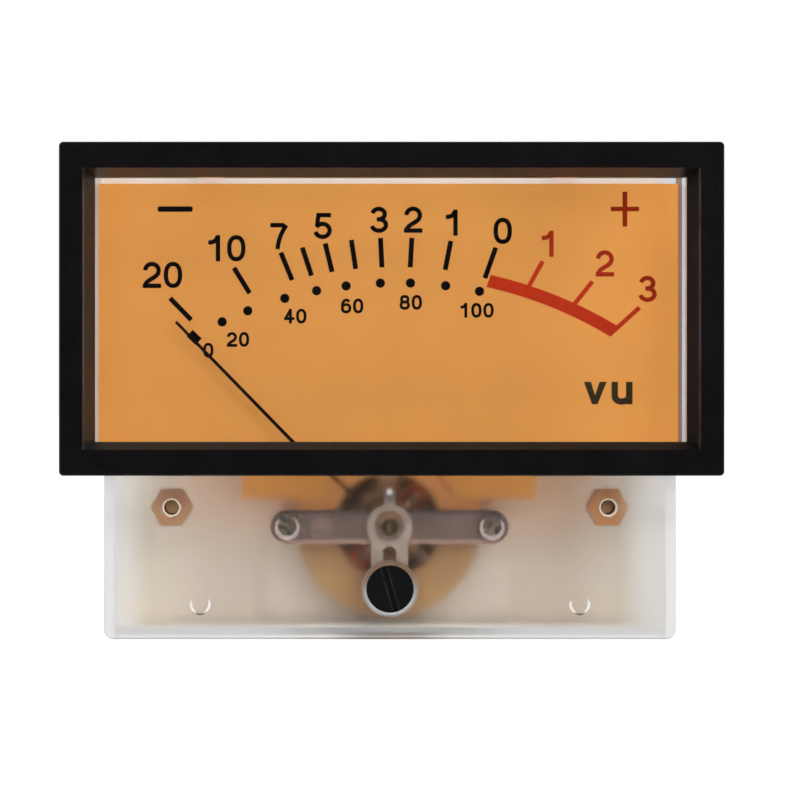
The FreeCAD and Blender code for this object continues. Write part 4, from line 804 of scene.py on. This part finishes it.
def clear_window():
    """Clear acrylic with faint wiping smears."""
    f = Finish("clear_window")
    smear = f.noise(2.0, 4.0, (1.0, 1.0, 0.25))
    pane = f.surface(Base_Color=(0.985, 0.99, 0.985, 1.0), IOR=1.49, Transmission_Weight=1.0,
                     Roughness=f.span(smear, 0.0, 0.03, 0.4, 0.7))
    return f.done(f.lets_light_in(pane, (0.94, 0.94, 0.94)))


def dial_paint(base):
    """Matt sprayed paint with a fine orange-peel and a hardly visible cloudiness. It glows with
    painted light, more towards its top, right and bottom and less on its tab, to fill the shade
    that the bezel casts."""
    f = Finish("dial_paint")
    x, _, z = f.axes()
    peel = f.noise(0.18)
    skin = f.mottled(f.noise(6.0, 3.0), base, 0.975, 1.02)
    # Painted light: the glow stands in for light, strongest where the bezel shades the dial.
    top = f.product(f.past(z, 33.0, 45.3, 0.36), f.slope(x, 1.0, 0.55, 8.0, 34.0))
    glow = f.total(top, f.until(z, 8.5, 17.0, 0.10), f.past(x, 20.0, 40.5, 0.30),
                   f.until(x, -40.0, -20.0, 0.07), 0.28)
    glow = f.product(glow, f.slope(z, 0.55, 1.0, 6.5, 8.5))
    return f.finished(Base_Color=skin, Roughness=f.span(peel, 0.50, 0.62), Specular_IOR_Level=0.1,
                      Normal=f.bump(peel, 0.002), Emission_Color=skin, Emission_Strength=glow)


def ink(name, base):
    """Screen-printed ink: uneven cover at the scale of the mesh it was pressed through."""
    f = Finish(name)
    mesh = f.noise(0.09)
    return f.finished(Base_Color=f.mottled(mesh, base, 0.85, 1.2, 0.35),
                      Roughness=f.span(mesh, 0.45, 0.6), Specular_IOR_Level=0.04,
                      Normal=f.bump(mesh, 0.003))


def knurled_brass(base, name="knurled_brass"):
    """Turned brass with a pebbled cut surface and darker oxide in its hollows."""
    f = Finish(name)
    pebble = f.cells(0.24)
    tone = f.weighted((pebble, 0.7), (f.noise(0.8, 3.0), 0.5))
    return f.finished(Base_Color=f.mottled(tone, base, 1.45, 0.65, 0.28, 0.62), Metallic=0.30,
                      Roughness=f.span(tone, 0.35, 0.5), Normal=f.bump(pebble, 0.02))


def insert_brass(base, bright):
    """Brass insert: brown with oxide and heat where it is moulded in, more yellow on the right, and
    painted light inside its bore, against the shade deep in it."""
    f = Finish("insert_brass")
    x, _, _ = f.axes()
    # Painted light: the bore is painted bright, to offset the shade deep in it.
    bore = f.until(f.from_lines(INSERT.x, 0.0), 1.02, 1.10)
    pebble = f.cells(0.20)
    tone = f.weighted((pebble, 0.35), (f.noise(1.6, 3.0), 0.75))
    oxide = f.tint(tone, (0.36, filtered(base, 1.05, 1.15, 0.8)), (0.52, base),
                   (0.70, filtered(base, 0.9, 0.72, 0.85)))
    oxide = f.blend(f.past(x, -1.0, 1.0, 0.85), oxide, filtered(base, 0.98, 0.76, 0.42))
    return f.finished(Base_Color=f.blend(bore, oxide, bright), Metallic=0.30,
                      Roughness=f.span(tone, 0.35, 0.5), Normal=f.bump(pebble, 0.015))


def passivated(base):
    """Zinc with yellow passivate: gold that drifts to pink and green, with its bore machined bright.
    As painted light against the shade there, its top half is painted lighter and more orange."""
    f = Finish("passivated_zinc")
    _, _, z = f.axes()
    fine = f.noise(0.16, 1.0)
    drift = f.weighted((f.noise(2.2, 3.0), 0.55), (fine, 0.45))

    def gold(deep):
        return f.tint(drift, (0.30, filtered(deep, 0.85, 0.70, 0.8)), (0.5, deep),
                      (0.72, filtered(deep, 1.1, 1.15, 0.95)))

    # Painted light: the top half is painted lighter, against the shade of the dial and bezel above.
    painted_light_upper = f.past(z, PIVOT.z - 0.5, PIVOT.z + 3.0)
    bore = f.until(f.from_line(0.0, PIVOT.z), 7.55, 7.65)
    skin = f.blend(painted_light_upper, gold(base), gold(filtered(base, 2.0, 1.6, 1.15)))
    return f.finished(Base_Color=f.blend(bore, skin, (0.80, 0.44, 0.17)), Metallic=0.45,
                      Roughness=f.span(fine, 0.35, 0.5), Normal=f.bump(fine, 0.01))


def circuit_board(base):
    """Glass-fibre board: green mask over a faint weave and lighter copper runs."""
    f = Finish("circuit_board")
    runs = f.node("ShaderNodeTexBrick", {"Vector": f.mapped(), "Scale": 1 / (9.0 * MM),
                                         "Mortar Size": 0.04, "Brick Width": 1.6, "Row Height": 0.5})
    weave = f.noise(0.25, 1.0, (1.0, 1.0, 2.0))
    tone = f.weighted((runs.outputs["Fac"], 0.5), (weave, 0.4))
    return f.finished(Base_Color=f.mottled(tone, base, 0.8, 2.0, 0.1, 0.9),
                      Roughness=f.span(weave, 0.25, 0.4), Normal=f.bump(tone, 0.01))


def label_card():
    """Coated paper: soft fibres and slightly yellowed tone."""
    f = Finish("label_card")
    fibre = f.noise(0.15, 4.0, (1.0, 1.0, 0.3))
    skin = f.tint(fibre, (0.3, (0.74, 0.73, 0.69)), (0.7, (0.84, 0.83, 0.80)))
    return f.finished(Base_Color=skin, Roughness=f.span(fibre, 0.6, 0.75),
                      Normal=f.bump(fibre, 0.006))


def sapphire(base):
    """Bearing jewel: nearly clear stone with a faint cloud."""
    f = Finish("bearing_sapphire")
    cloud = f.noise(0.3)
    return f.finished(Base_Color=f.mottled(cloud, base, 0.9, 1.1), IOR=1.76,
                      Transmission_Weight=0.5, Roughness=f.span(cloud, 0.03, 0.10))


def light_guide():
    """White diffuser that spreads the lamps' light: milky, with a painted glow strongest at its top,
    and painted shade towards the dial, darkest on the right."""
    f = Finish("light_guide")
    x, _, z = f.axes()
    beside, right = f.away(x), f.past(x, 36.0, 40.8)
    cloudy = f.tint(f.noise(3.0), (0.3, (0.78, 0.74, 0.70)), (0.7, (0.84, 0.80, 0.76)))
    white = f.blend(right, cloudy, (0.66, 0.80, 0.99))
    painted_edge_shade = f.blend(right, (0.62, 0.60, 0.60), (0.31, 0.23, 0.18))
    # Painted shade: a darker band next to the dial, darkest on the right.
    inner = f.product(f.until(beside, 41.26, 41.46), f.past(beside, 40.4, 40.6))
    skin, fine = f.blend(inner, white, painted_edge_shade), f.noise(0.2)
    # Painted light: the glow, strongest along the top, stands in for light on the diffuser.
    return f.finished(Base_Color=skin, Roughness=f.span(fine, 0.4, 0.55),
                      Normal=f.bump(fine, 0.004), Emission_Color=skin,
                      Emission_Strength=f.slope(z, 0.20, 0.40, 44.9, 45.4))


def lens_yellow():
    """Phosphor gel of the lamps, paler towards the white package."""
    f = Finish("lamp_phosphor")
    gel = f.noise(0.5)
    skin = f.tint(gel, (0.35, (0.80, 0.62, 0.12)), (0.65, (0.88, 0.76, 0.35)))
    return f.finished(Base_Color=skin, Roughness=f.span(gel, 0.2, 0.35),
                      Subsurface_Weight=0.1, Subsurface_Scale=0.5 * MM)


def dress(finish, *names):
    """Give CAD nodes a finish."""
    for name in names:
        materials = NODES[name].data.materials
        materials.clear()
        materials.append(finish)


# ---------------------------------------------------------------- operators

class METER_OT_finish_shell(Operator):
    """Finish the bezel, window, front cover, rear case and label."""
    bl_idname = "meter.finish_shell"
    bl_label = "Finish the shell"

    def execute(self, context):
        c = context.scene.meter_colours
        dress(bezel_moulding(c.bezel), "bezel")
        dress(clear_window(), "window_pane")
        dress(frosted_shell(c.frosting), "front_cover")
        dress(case_moulding(c.case), "rear_case", "movement_frame")
        dress(label_card(), "rear_label")
        return {"FINISHED"}


class METER_OT_finish_dial(Operator):
    """Finish the dial plate, its screws, the diffuser and the lamp board."""
    bl_idname = "meter.finish_dial"
    bl_label = "Finish the dial and lamp board"

    def execute(self, context):
        c = context.scene.meter_colours
        steel = speckled("screw_steel", (0.085, 0.060, 0.042), 0.35, 0.5, 0.9)
        dress(dial_paint(c.dial), "dial_plate")
        dress(steel, "dial_screws", "board_screws", "movement_screws", "bridge_screws",
              "rear_bridge_screws")
        dress(light_guide(), "diffuser_plate")
        dress(circuit_board(c.board), "backlight_board")
        dress(lens_yellow(), "backlight_leds")
        dress(moulded("resistor_black", (0.02, 0.02, 0.022), 0.1, 0.003), "backlight_resistors")
        return {"FINISHED"}


class METER_OT_finish_movement(Operator):
    """Finish the magnet, ring, bridges, jewels, coil, pointer, springs and terminals."""
    bl_idname = "meter.finish_movement"
    bl_label = "Finish the movement"

    def execute(self, context):
        c = context.scene.meter_colours
        brass = knurled_brass(c.brass)
        tin = metal("tinned_brass", (0.60, 0.57, 0.48), 0.1, 0.003, (0.25, 0.4))
        cast = bridge_casting(c.bridge)
        # The second colour is painted light inside the inserts' bores.
        dress(insert_brass(filtered(c.brass, 0.79, 0.78, 0.66), (0.70, 0.42, 0.19)),
              "panel_insert_left", "panel_insert_right")
        dress(brass, "core_spacers", "rear_lock_nut", "rear_spring_anchor", "pointer_stop_left",
              "pointer_stop_right")
        dress(knurled_brass((0.15, 0.098, 0.030), "lacquered_brass"), "front_jewel_screw",
              "rear_jewel_screw")
        dress(knurled_brass(shade(c.brass, 0.25), "weight_brass"), "balance_weights")
        dress(tin, "lamp_terminals", "terminal_minus", "terminal_plus", "solder_tag_left",
              "solder_tag_right")
        dress(cast, "front_bridge", "rear_bridge")
        dress(passivated(c.passivate), "return_ring")
        dress(speckled("sintered_magnet", (0.19, 0.078, 0.024), 0.2, 0.25, 0.5), "core_magnet")
        dress(sapphire((0.60, 0.66, 0.85)), "front_jewel", "rear_jewel")
        dress(lever_alloy(c.lever), "zero_lever")
        dress(moulded("lead_black", (0.012, 0.012, 0.012), 0.2, 0.004), "signal_lead_left")
        dress(moulded("lead_red", (0.42, 0.02, 0.015), 0.2, 0.004), "signal_lead_right")
        dress(moulded("coil_varnish", c.enamel, 0.1, 0.01, (0.4, 0.5), 0.2), "coil_winding")
        dress(metal("former_foil", (0.20, 0.11, 0.055), 0.05, 0.002, (0.3, 0.45)), "coil_former",
              "balance_cross")
        dress(metal("pivot_steel", (0.52, 0.50, 0.46), 0.04, 0.001, (0.12, 0.2)), "front_pivot",
              "rear_pivot")
        dress(moulded("pointer_black", (0.0035, 0.0020, 0.0015), 0.08, 0.003, (0.5, 0.65), 0.06),
              "pointer")
        dress(metal("hairspring_bronze", (0.26, 0.16, 0.07), 0.05, 0.001, (0.25, 0.35)),
              "front_hairspring", "rear_hairspring")
        return {"FINISHED"}


class METER_OT_finish_adjuster(Operator):
    """Finish the zero screw and its clip."""
    bl_idname = "meter.finish_adjuster"
    bl_label = "Finish the zero adjuster"

    def execute(self, context):
        dress(adjuster_moulding((0.0036, 0.0036, 0.0040)), "zero_screw")
        dress(metal("spring_steel", (0.40, 0.40, 0.42), 0.05, 0.002, (0.2, 0.35)), "zero_screw_clip")
        return {"FINISHED"}


class METER_OT_print_scale(Operator):
    """Print the marks, dots, red band, numerals, signs and unit on the dial plate."""
    bl_idname = "meter.print_scale"
    bl_label = "Print the scale"

    def execute(self, context):
        p, c = context.scene.meter_print, context.scene.meter_colours
        centre = np.array([p.arc_x, p.arc_z]) / MM
        aim = np.array([p.aim_x, p.aim_z]) / MM
        front, back = DIAL_FACE - p.ink / MM, DIAL_FACE + LAYER
        black, red = ink("black_ink", c.black_ink), ink("red_ink", c.red_ink)
        deep_red, grey = ink("deep_red_ink", shade(c.red_ink, 0.78)), ink("unit_ink", c.unit_ink)

        def on_arc(angle, radius, offset=0.0):
            """Where a line at this angle from the aim point, moved sideways by offset, meets an arc."""
            turn = math.radians(angle)
            way = np.array([math.sin(turn), math.cos(turn)])
            side = np.array([math.cos(turn), -math.sin(turn)])
            start = aim + side * offset - centre
            along = -start @ way + math.sqrt((start @ way) ** 2 - start @ start + radius ** 2)
            return centre + start + way * along

        def mark(angle, inner, outer, wide):
            return stroke([on_arc(angle, inner), on_arc(angle, outer)], wide, front, back, corner=0.09)

        inner, outer = p.mark_inner / MM, p.mark_outer / MM
        marks = [mark(a, inner, outer, p.mark_wide / MM) for a in SCALE_MARK_ANGLES]
        marks.append(mark(ZERO_MARK_ANGLE, inner - 0.25, outer + 0.15, p.mark_wide / MM))
        block = np.array(BLOCK_MARK)
        reach = unit(block - aim) * BLOCK_LONG / 2
        marks.append(stroke([block - reach, block + reach], BLOCK_WIDE, front, back, corner=0.06))
        add_piece("scale_marks", marks, black, "case")

        half = p.dot_size / MM / 2
        sweep = np.radians(np.linspace(0, 180, 25))
        cap = np.stack([-np.cos(sweep), np.sin(sweep)], axis=-1) * half
        turns = np.radians(DOT_ANGLES)
        middles = centre + p.dot_radius / MM * np.stack([np.sin(turns), np.cos(turns)], axis=-1)
        add_piece("percent_dots", [slab_between(m + cap, m + cap * (1, -1), front, back)
                                   for m in middles], black, "case")

        def band_edge(radius):
            """Arc of the red band, cut along the zero mark's line and the last mark's lower side."""
            ends = [on_arc(ZERO_MARK_ANGLE, radius, 0.62),
                    on_arc(RED_MARK_ANGLES[-1], radius, p.red_mark_wide / MM / 2)] - centre
            start, end = np.arctan2(ends[:, 0], ends[:, 1])
            turn = np.linspace(start, end, 48)
            return centre + radius * np.stack([np.sin(turn), np.cos(turn)], axis=-1)

        low, high = p.band_inner / MM, p.band_outer / MM
        reds = [slab_between(band_edge(high), band_edge(low), front, back)]
        reds += [stroke([on_arc(a, high - 0.4), on_arc(a, outer + 0.08)], p.red_mark_wide / MM,
                        front + LAYER, back, corner=0.09) for a in RED_MARK_ANGLES]
        add_piece("overload_band", reds, red, "case")

        large = [s / MM for s in (p.numeral_wide, p.numeral_tall, p.numeral_pitch, p.numeral_stroke)]
        small = [s / MM for s in (p.small_wide, p.small_tall, p.small_pitch, p.small_stroke)]
        for name, texts, size, coat in (("scale_numerals", SCALE_NUMBERS, large, black),
                                        ("red_numerals", RED_NUMBERS, large, deep_red),
                                        ("percent_numerals", PERCENT_NUMBERS, small, black)):
            add_piece(name, [part for text, x, z in texts
                             for part in numerals(text, (x, z), *size, front, back)], coat, "case")

        add_piece("minus_sign", [stroke(MINUS_LINE, 0.75, front, back, corner=0.25)], black, "case")
        plus = [stroke(PLUS_LEVEL, 0.63, front, back, corner=0.1),
                stroke(PLUS_UPRIGHT, 0.66, front + LAYER, back, corner=0.1)]
        add_piece("plus_sign", plus, deep_red, "case")
        add_piece("unit_letters", letter_v(front, back) + letter_u(front, back), grey, "case")
        return {"FINISHED"}


class METER_OT_wind_coil(Operator):
    """Lay the coil's outer layer of wire on its varnished core."""
    bl_idname = "meter.wind_coil"
    bl_label = "Wind the coil"

    def execute(self, context):
        s, c = context.scene.meter_small, context.scene.meter_colours
        turns, radius = int(s.wire_turns), s.wire_radius / MM
        half, wide, corner = 6.93, 2.5, 0.72
        front, back = 6.98, 19.02
        depth, mid_depth = (back - front) / 2, (front + back) / 2
        # Rounded rectangle: four quarter circles whose centres stand a corner radius inside.
        angle = np.radians(np.linspace(0, 90, 7)[None, :] + np.arange(4)[:, None] * 90.0)
        cx = (half - corner) * np.array([1, -1, -1, 1])[:, None]
        cy = (depth - corner) * np.array([1, 1, -1, -1])[:, None]
        loop_u = (cx + corner * np.cos(angle)).ravel()
        loop_y = (cy + corner * np.sin(angle)).ravel()
        out = np.stack([np.cos(angle).ravel(), np.sin(angle).ravel()], axis=-1)
        step = np.hypot(*(np.roll(np.stack([loop_u, loop_y]), -1, axis=1) - [loop_u, loop_y]))
        share = (np.arange(turns)[:, None] + np.cumsum(step)[None, :] / step.sum()).ravel()
        w = wide * (share / turns - 0.5)
        u, y = np.tile(loop_u, turns), np.tile(loop_y, turns) + mid_depth
        # At rest the pointer leans this many degrees to the left, and the coil lies across it.
        lean = math.radians(48.7)
        along = np.array([math.cos(lean), 0.0, math.sin(lean)])
        across = np.array([-math.sin(lean), 0.0, math.cos(lean)])
        pivot = np.array([0.0, 0.0, PIVOT.z])
        path = pivot + u[:, None] * along + y[:, None] * [0.0, 1.0, 0.0] + w[:, None] * across
        outward = np.tile(out, (turns, 1))
        outward = outward[:, :1] * along + outward[:, 1:] * [0.0, 1.0, 0.0]
        wire = tube(path, np.broadcast_to(across, path.shape), outward, radius)
        finish = moulded("wire_enamel", shade(c.enamel, 1.2), 0.2, 0.002, (0.35, 0.5), 0.2)
        add_piece("coil_wire", [wire], finish, "moving_coil", smooth=True)
        return {"FINISHED"}


def insert_threads(pitch):
    """In each insert, a ridge of triangular section that climbs one pitch a turn."""
    turns, start, radius, half = 6, 1.25, 1.03, 0.11
    turn = np.linspace(0, 2 * np.pi * turns, 24 * turns + 1)
    out = np.stack([np.cos(turn), np.zeros_like(turn), np.sin(turn)], axis=-1)
    climb = (start + pitch * turn / (2 * np.pi))[:, None] * [0.0, 1.0, 0.0]
    rise = np.broadcast_to([0.0, 1.0, 0.0], out.shape)
    return [tube(np.array([x, 0.0, 0.0]) + out * radius + climb, rise, -out, half, 3)
            for x in both_sides(INSERT.x)]


def solder_joints(size):
    """Drops on the lamp board's pins, on the solder tags and on the terminals' pins."""
    board, tag, post = (5.1, 14.42, 31.5), (19.2, 14.32, 8.3), (TERMINAL.x, 15.62, TERMINAL.z)
    return [bead((x, *place[1:]), size * share, height, lean=lean)
            for place, share, height, lean in ((board, 1.15, 0.75, 0.7), (tag, 1.0, 0.95, 0.7),
                                               (post, 1.4, 2.2, 1.1))
            for x in both_sides(place[0])]


def polarity_marks(reach):
    """Raised bars below the terminals on the case's back: a level one at each, crossed at plus."""
    wall, height, half, wide = 18.0, 10.2, 1.2, 0.55
    root, top = wall - 0.05, wall + reach
    bars = [stroke([(x - half, height), (x + half, height)], wide, top, root, corner=0.1)
            for x in both_sides(TERMINAL.x)]
    upright = [(TERMINAL.x, height - half), (TERMINAL.x, height + half)]
    return [*bars, stroke(upright, wide, top + LAYER, root, corner=0.1)]


class METER_OT_add_small_parts(Operator):
    """Add painted highlights and shade, insert threads, lacquer, solder and the polarity marks."""
    bl_idname = "meter.add_small_parts"
    bl_label = "Add small parts"

    def execute(self, context):
        s, c = context.scene.meter_small, context.scene.meter_colours
        rim = s.rim_half / MM
        # Painted highlight: raised lips at the bores, painted pale for the light their edges catch.
        highlight = moulded("bore_highlight", (0.95, 0.80, 0.66), 0.3, 0.001, (0.08, 0.16), 0.9, 0.04)
        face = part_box("panel_insert_left")[0].y / MM
        add_piece("bore_rims", [round_rim((x, face, 0.0), 1.17, rim, rim * 0.4)
                                for x in both_sides(INSERT.x)],
                  highlight, "case", smooth=True)

        # Painted highlight: bright arcs on the dimples' lower walls, where light from above falls.
        dimple, height = 26.2, -13.30
        clear = moulded("dimple_highlight", (0.97, 0.93, 0.89), 0.3, 0.001, (0.08, 0.16), 0.9, 0.03)
        add_piece("dimple_rims", [rim_arc((x, 0.0, height), 1.28, 0.21, 0.07, start, end)
                                  for x in both_sides(dimple)
                                  for start, end in ((158, 246), (294, 392))],
                  clear, "case", smooth=True)
        # Painted shade: a dark arc at the foot of each dimple.
        dull = moulded("dimple_shade", (0.20, 0.16, 0.135), 0.2, 0.001, (0.4, 0.5), 0.2, 0.1)
        add_piece("dimple_feet", [rim_arc((x, 0.0, height - 0.12), 1.30, 0.13, 0.04, 240, 300)
                                  for x in both_sides(dimple)],
                  dull, "case", smooth=True)
        add_piece("insert_threads", insert_threads(s.thread_pitch / MM),
                  knurled_brass(shade(c.brass, 0.8)), "case", smooth=True)

        lacquer = moulded("lock_lacquer", c.lacquer, 0.3, 0.004, (0.15, 0.3), 0.12, 0.40, 0.5)
        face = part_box("front_jewel_screw")[0].y / MM
        cap = [(0.50, 0.02), (0.56, -0.10), (0.72, -0.20), (0.92, -0.16), (1.06, -0.05), (1.10, 0.02)]
        add_piece("jewel_lacquer", [turned(cap, (0.0, face, PIVOT.z), 40)], lacquer, "case",
                  smooth=True)

        solder = metal("solder", (0.68, 0.67, 0.66), 0.3, 0.01, (0.15, 0.3), vary=0.1, cloud=0.4)
        add_piece("solder_joints", solder_joints(s.solder_radius / MM), solder, "case",
                  smooth=True)
        low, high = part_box("zero_lever")
        spot = (0.0, low.y / MM + 0.05, high.z / MM - 0.22)
        bright = moulded("bright_solder", (0.95, 0.94, 0.92), 0.2, 0.004, (0.15, 0.25), 0.8, 0.03)
        add_piece("spring_solder", [bead(spot, 0.52, 0.7, lean=0.5)], bright, "zero_arm",
                  smooth=True)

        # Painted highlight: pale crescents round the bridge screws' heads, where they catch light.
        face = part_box("bridge_screws")[0].y / MM + 0.02
        crescents = [rim_arc((x, face, PIVOT.z), 1.50, 0.34, 0.12, 130, 410)
                     for x in both_sides(14.2)]
        painted_glint = moulded("screw_glint", (0.46, 0.37, 0.34), 0.2, 0.002, (0.5, 0.6), 0.2, 0.3, 0.5)
        add_piece("screw_rims", crescents, painted_glint, "case", smooth=True)
        ivory = NODES["rear_case"].data.materials[0]
        add_piece("polarity_marks", polarity_marks(s.mark_reach / MM), ivory, "case")
        return {"FINISHED"}


class METER_OT_set_stage(Operator):
    """Set the floor, the studio light and the camera."""
    bl_idname = "meter.set_stage"
    bl_label = "Set the stage"

    def execute(self, context):
        s = context.scene.meter_stage
        self.add_floor()
        self.set_world(s)
        self.add_lamp("key_lamp", (0.38, -0.74, 0.40), 0.42, s.key)
        self.add_lamp("fill_lamp", (-0.75, -0.62, 0.25), 0.60, s.fill)
        camera = bpy.data.objects.new("camera", bpy.data.cameras.new("camera"))
        camera.data.lens, camera.data.sensor_width = s.lens, 36.0
        camera.data.shift_x = s.shift
        camera.data.clip_start, camera.data.clip_end = 0.01, 20.0
        camera.location = (s.camera_x, s.camera_y, s.camera_z)
        camera.rotation_euler = (math.pi / 2, 0.0, 0.0)
        context.scene.collection.objects.link(camera)
        context.scene.camera = camera
        context.scene.view_settings.view_transform = "Standard"
        return {"FINISHED"}

    def add_floor(self):
        """Round floor: pale, keeps the meter's shadow, and white to the camera, metal and glass.

        It stops a metre in front, where the window would mirror it.
        """
        corners, radius, front_edge = 64, 6.0, -1.0
        angle = np.linspace(0, 2 * np.pi, corners, endpoint=False)
        rim = np.stack([np.cos(angle), np.sin(angle), np.zeros(corners)], axis=-1) * radius
        rim[:, 1] = np.maximum(rim[:, 1], front_edge)
        mesh = bpy.data.meshes.new("floor")
        mesh.from_pydata((rim + [0.0, 0.0, CAD_BOX[0][2]]).tolist(), [], [list(range(corners))])
        floor = bpy.data.objects.new("floor", mesh)
        bpy.context.scene.collection.objects.link(floor)
        f = Finish("floor_paper")
        matt = f.node("ShaderNodeBsdfDiffuse", {"Color": (0.80, 0.80, 0.80, 1.0)}).outputs[0]
        path = f.node("ShaderNodeLightPath").outputs
        seen = f.highest(path["Is Camera Ray"], path["Is Glossy Ray"], path["Is Transmission Ray"])
        glow = f.node("ShaderNodeEmission", {"Strength": f.product(seen, 0.62)}).outputs[0]
        both = f.node("ShaderNodeAddShader", {0: matt, 1: glow}).outputs[0]
        mesh.materials.append(f.done(both))

    def set_world(self, s):
        """Soft studio: even light, a dark card round the camera and a white backdrop behind."""
        world = bpy.data.worlds.new("studio")
        bpy.context.scene.world = world
        f = ShadingTree(world)
        way = f.node("ShaderNodeTexCoord").outputs["Generated"]
        ahead = f.node("ShaderNodeSeparateXYZ", {"Vector": way}).outputs["Y"]
        ring = f.product(f.span(ahead, 0.0, 1.0, -0.990, -0.976),
                         f.span(ahead, 1.0, 0.0, -0.945, -0.905))
        level = f.span(ahead, s.front_sky, s.sky, -0.985, -0.93)
        level = f.total(level, f.product(ring, s.ring_sky))
        path = f.node("ShaderNodeLightPath").outputs
        shiny = f.highest(path["Is Glossy Ray"], path["Is Transmission Ray"])
        backdrop = f.product(shiny, f.span(ahead, 0.0, 1.0, -0.1, 0.2))
        white = f.highest(path["Is Camera Ray"], backdrop)
        strength = f.total(f.product(level, f.math("SUBTRACT", 1.0, white)), white)
        light = f.node("ShaderNodeBackground", {"Color": (1.0, 1.0, 1.0, 1.0), "Strength": strength})
        f.node("ShaderNodeOutputWorld", {"Surface": light.outputs[0]})

    def add_lamp(self, name, place, size, power):
        """Square area lamp that faces the meter."""
        lamp = bpy.data.objects.new(name, bpy.data.lights.new(name, "AREA"))
        lamp.data.size, lamp.data.energy = size, power
        lamp.location = place
        away = Vector(place) - Vector(TARGET)
        lamp.rotation_euler = away.to_track_quat("Z", "Y").to_euler()
        bpy.context.scene.collection.objects.link(lamp)


class METER_PT_panel(Panel):
    """Lists the meter's steps and settings in the sidebar."""
    bl_idname = "METER_PT_panel"
    bl_label = "Panel meter"
    bl_space_type = "VIEW_3D"
    bl_region_type = "UI"
    bl_category = "Meter"

    def draw(self, context):
        for step in STEPS:
            self.layout.operator(step.bl_idname)
        for group in GROUPS:
            box = self.layout.box()
            settings = getattr(context.scene, group)
            for key in settings.bl_rna.properties.keys():
                if key not in ("rna_type", "name"):
                    box.prop(settings, key)


GROUPS = {"meter_colours": MeterColours, "meter_print": ScalePrint, "meter_small": SmallParts,
          "meter_stage": StageSettings}
STEPS = (METER_OT_finish_shell, METER_OT_finish_dial, METER_OT_finish_movement,
         METER_OT_finish_adjuster, METER_OT_print_scale, METER_OT_wind_coil,
         METER_OT_add_small_parts, METER_OT_set_stage)


def register():
    for made in (*GROUPS.values(), *STEPS, METER_PT_panel):
        bpy.utils.register_class(made)
    for name, group in GROUPS.items():
        setattr(bpy.types.Scene, name, PointerProperty(type=group))


def unregister():
    for name in GROUPS:
        delattr(bpy.types.Scene, name)
    for made in reversed((*GROUPS.values(), *STEPS, METER_PT_panel)):
        bpy.utils.unregister_class(made)


def main():
    register()
    bpy.ops.meter.finish_shell()
    bpy.ops.meter.finish_dial()
    bpy.ops.meter.finish_movement()
    bpy.ops.meter.finish_adjuster()
    bpy.ops.meter.print_scale()
    bpy.ops.meter.wind_coil()
    bpy.ops.meter.add_small_parts()
    bpy.ops.meter.set_stage()


if __name__ == "__main__":
    main()
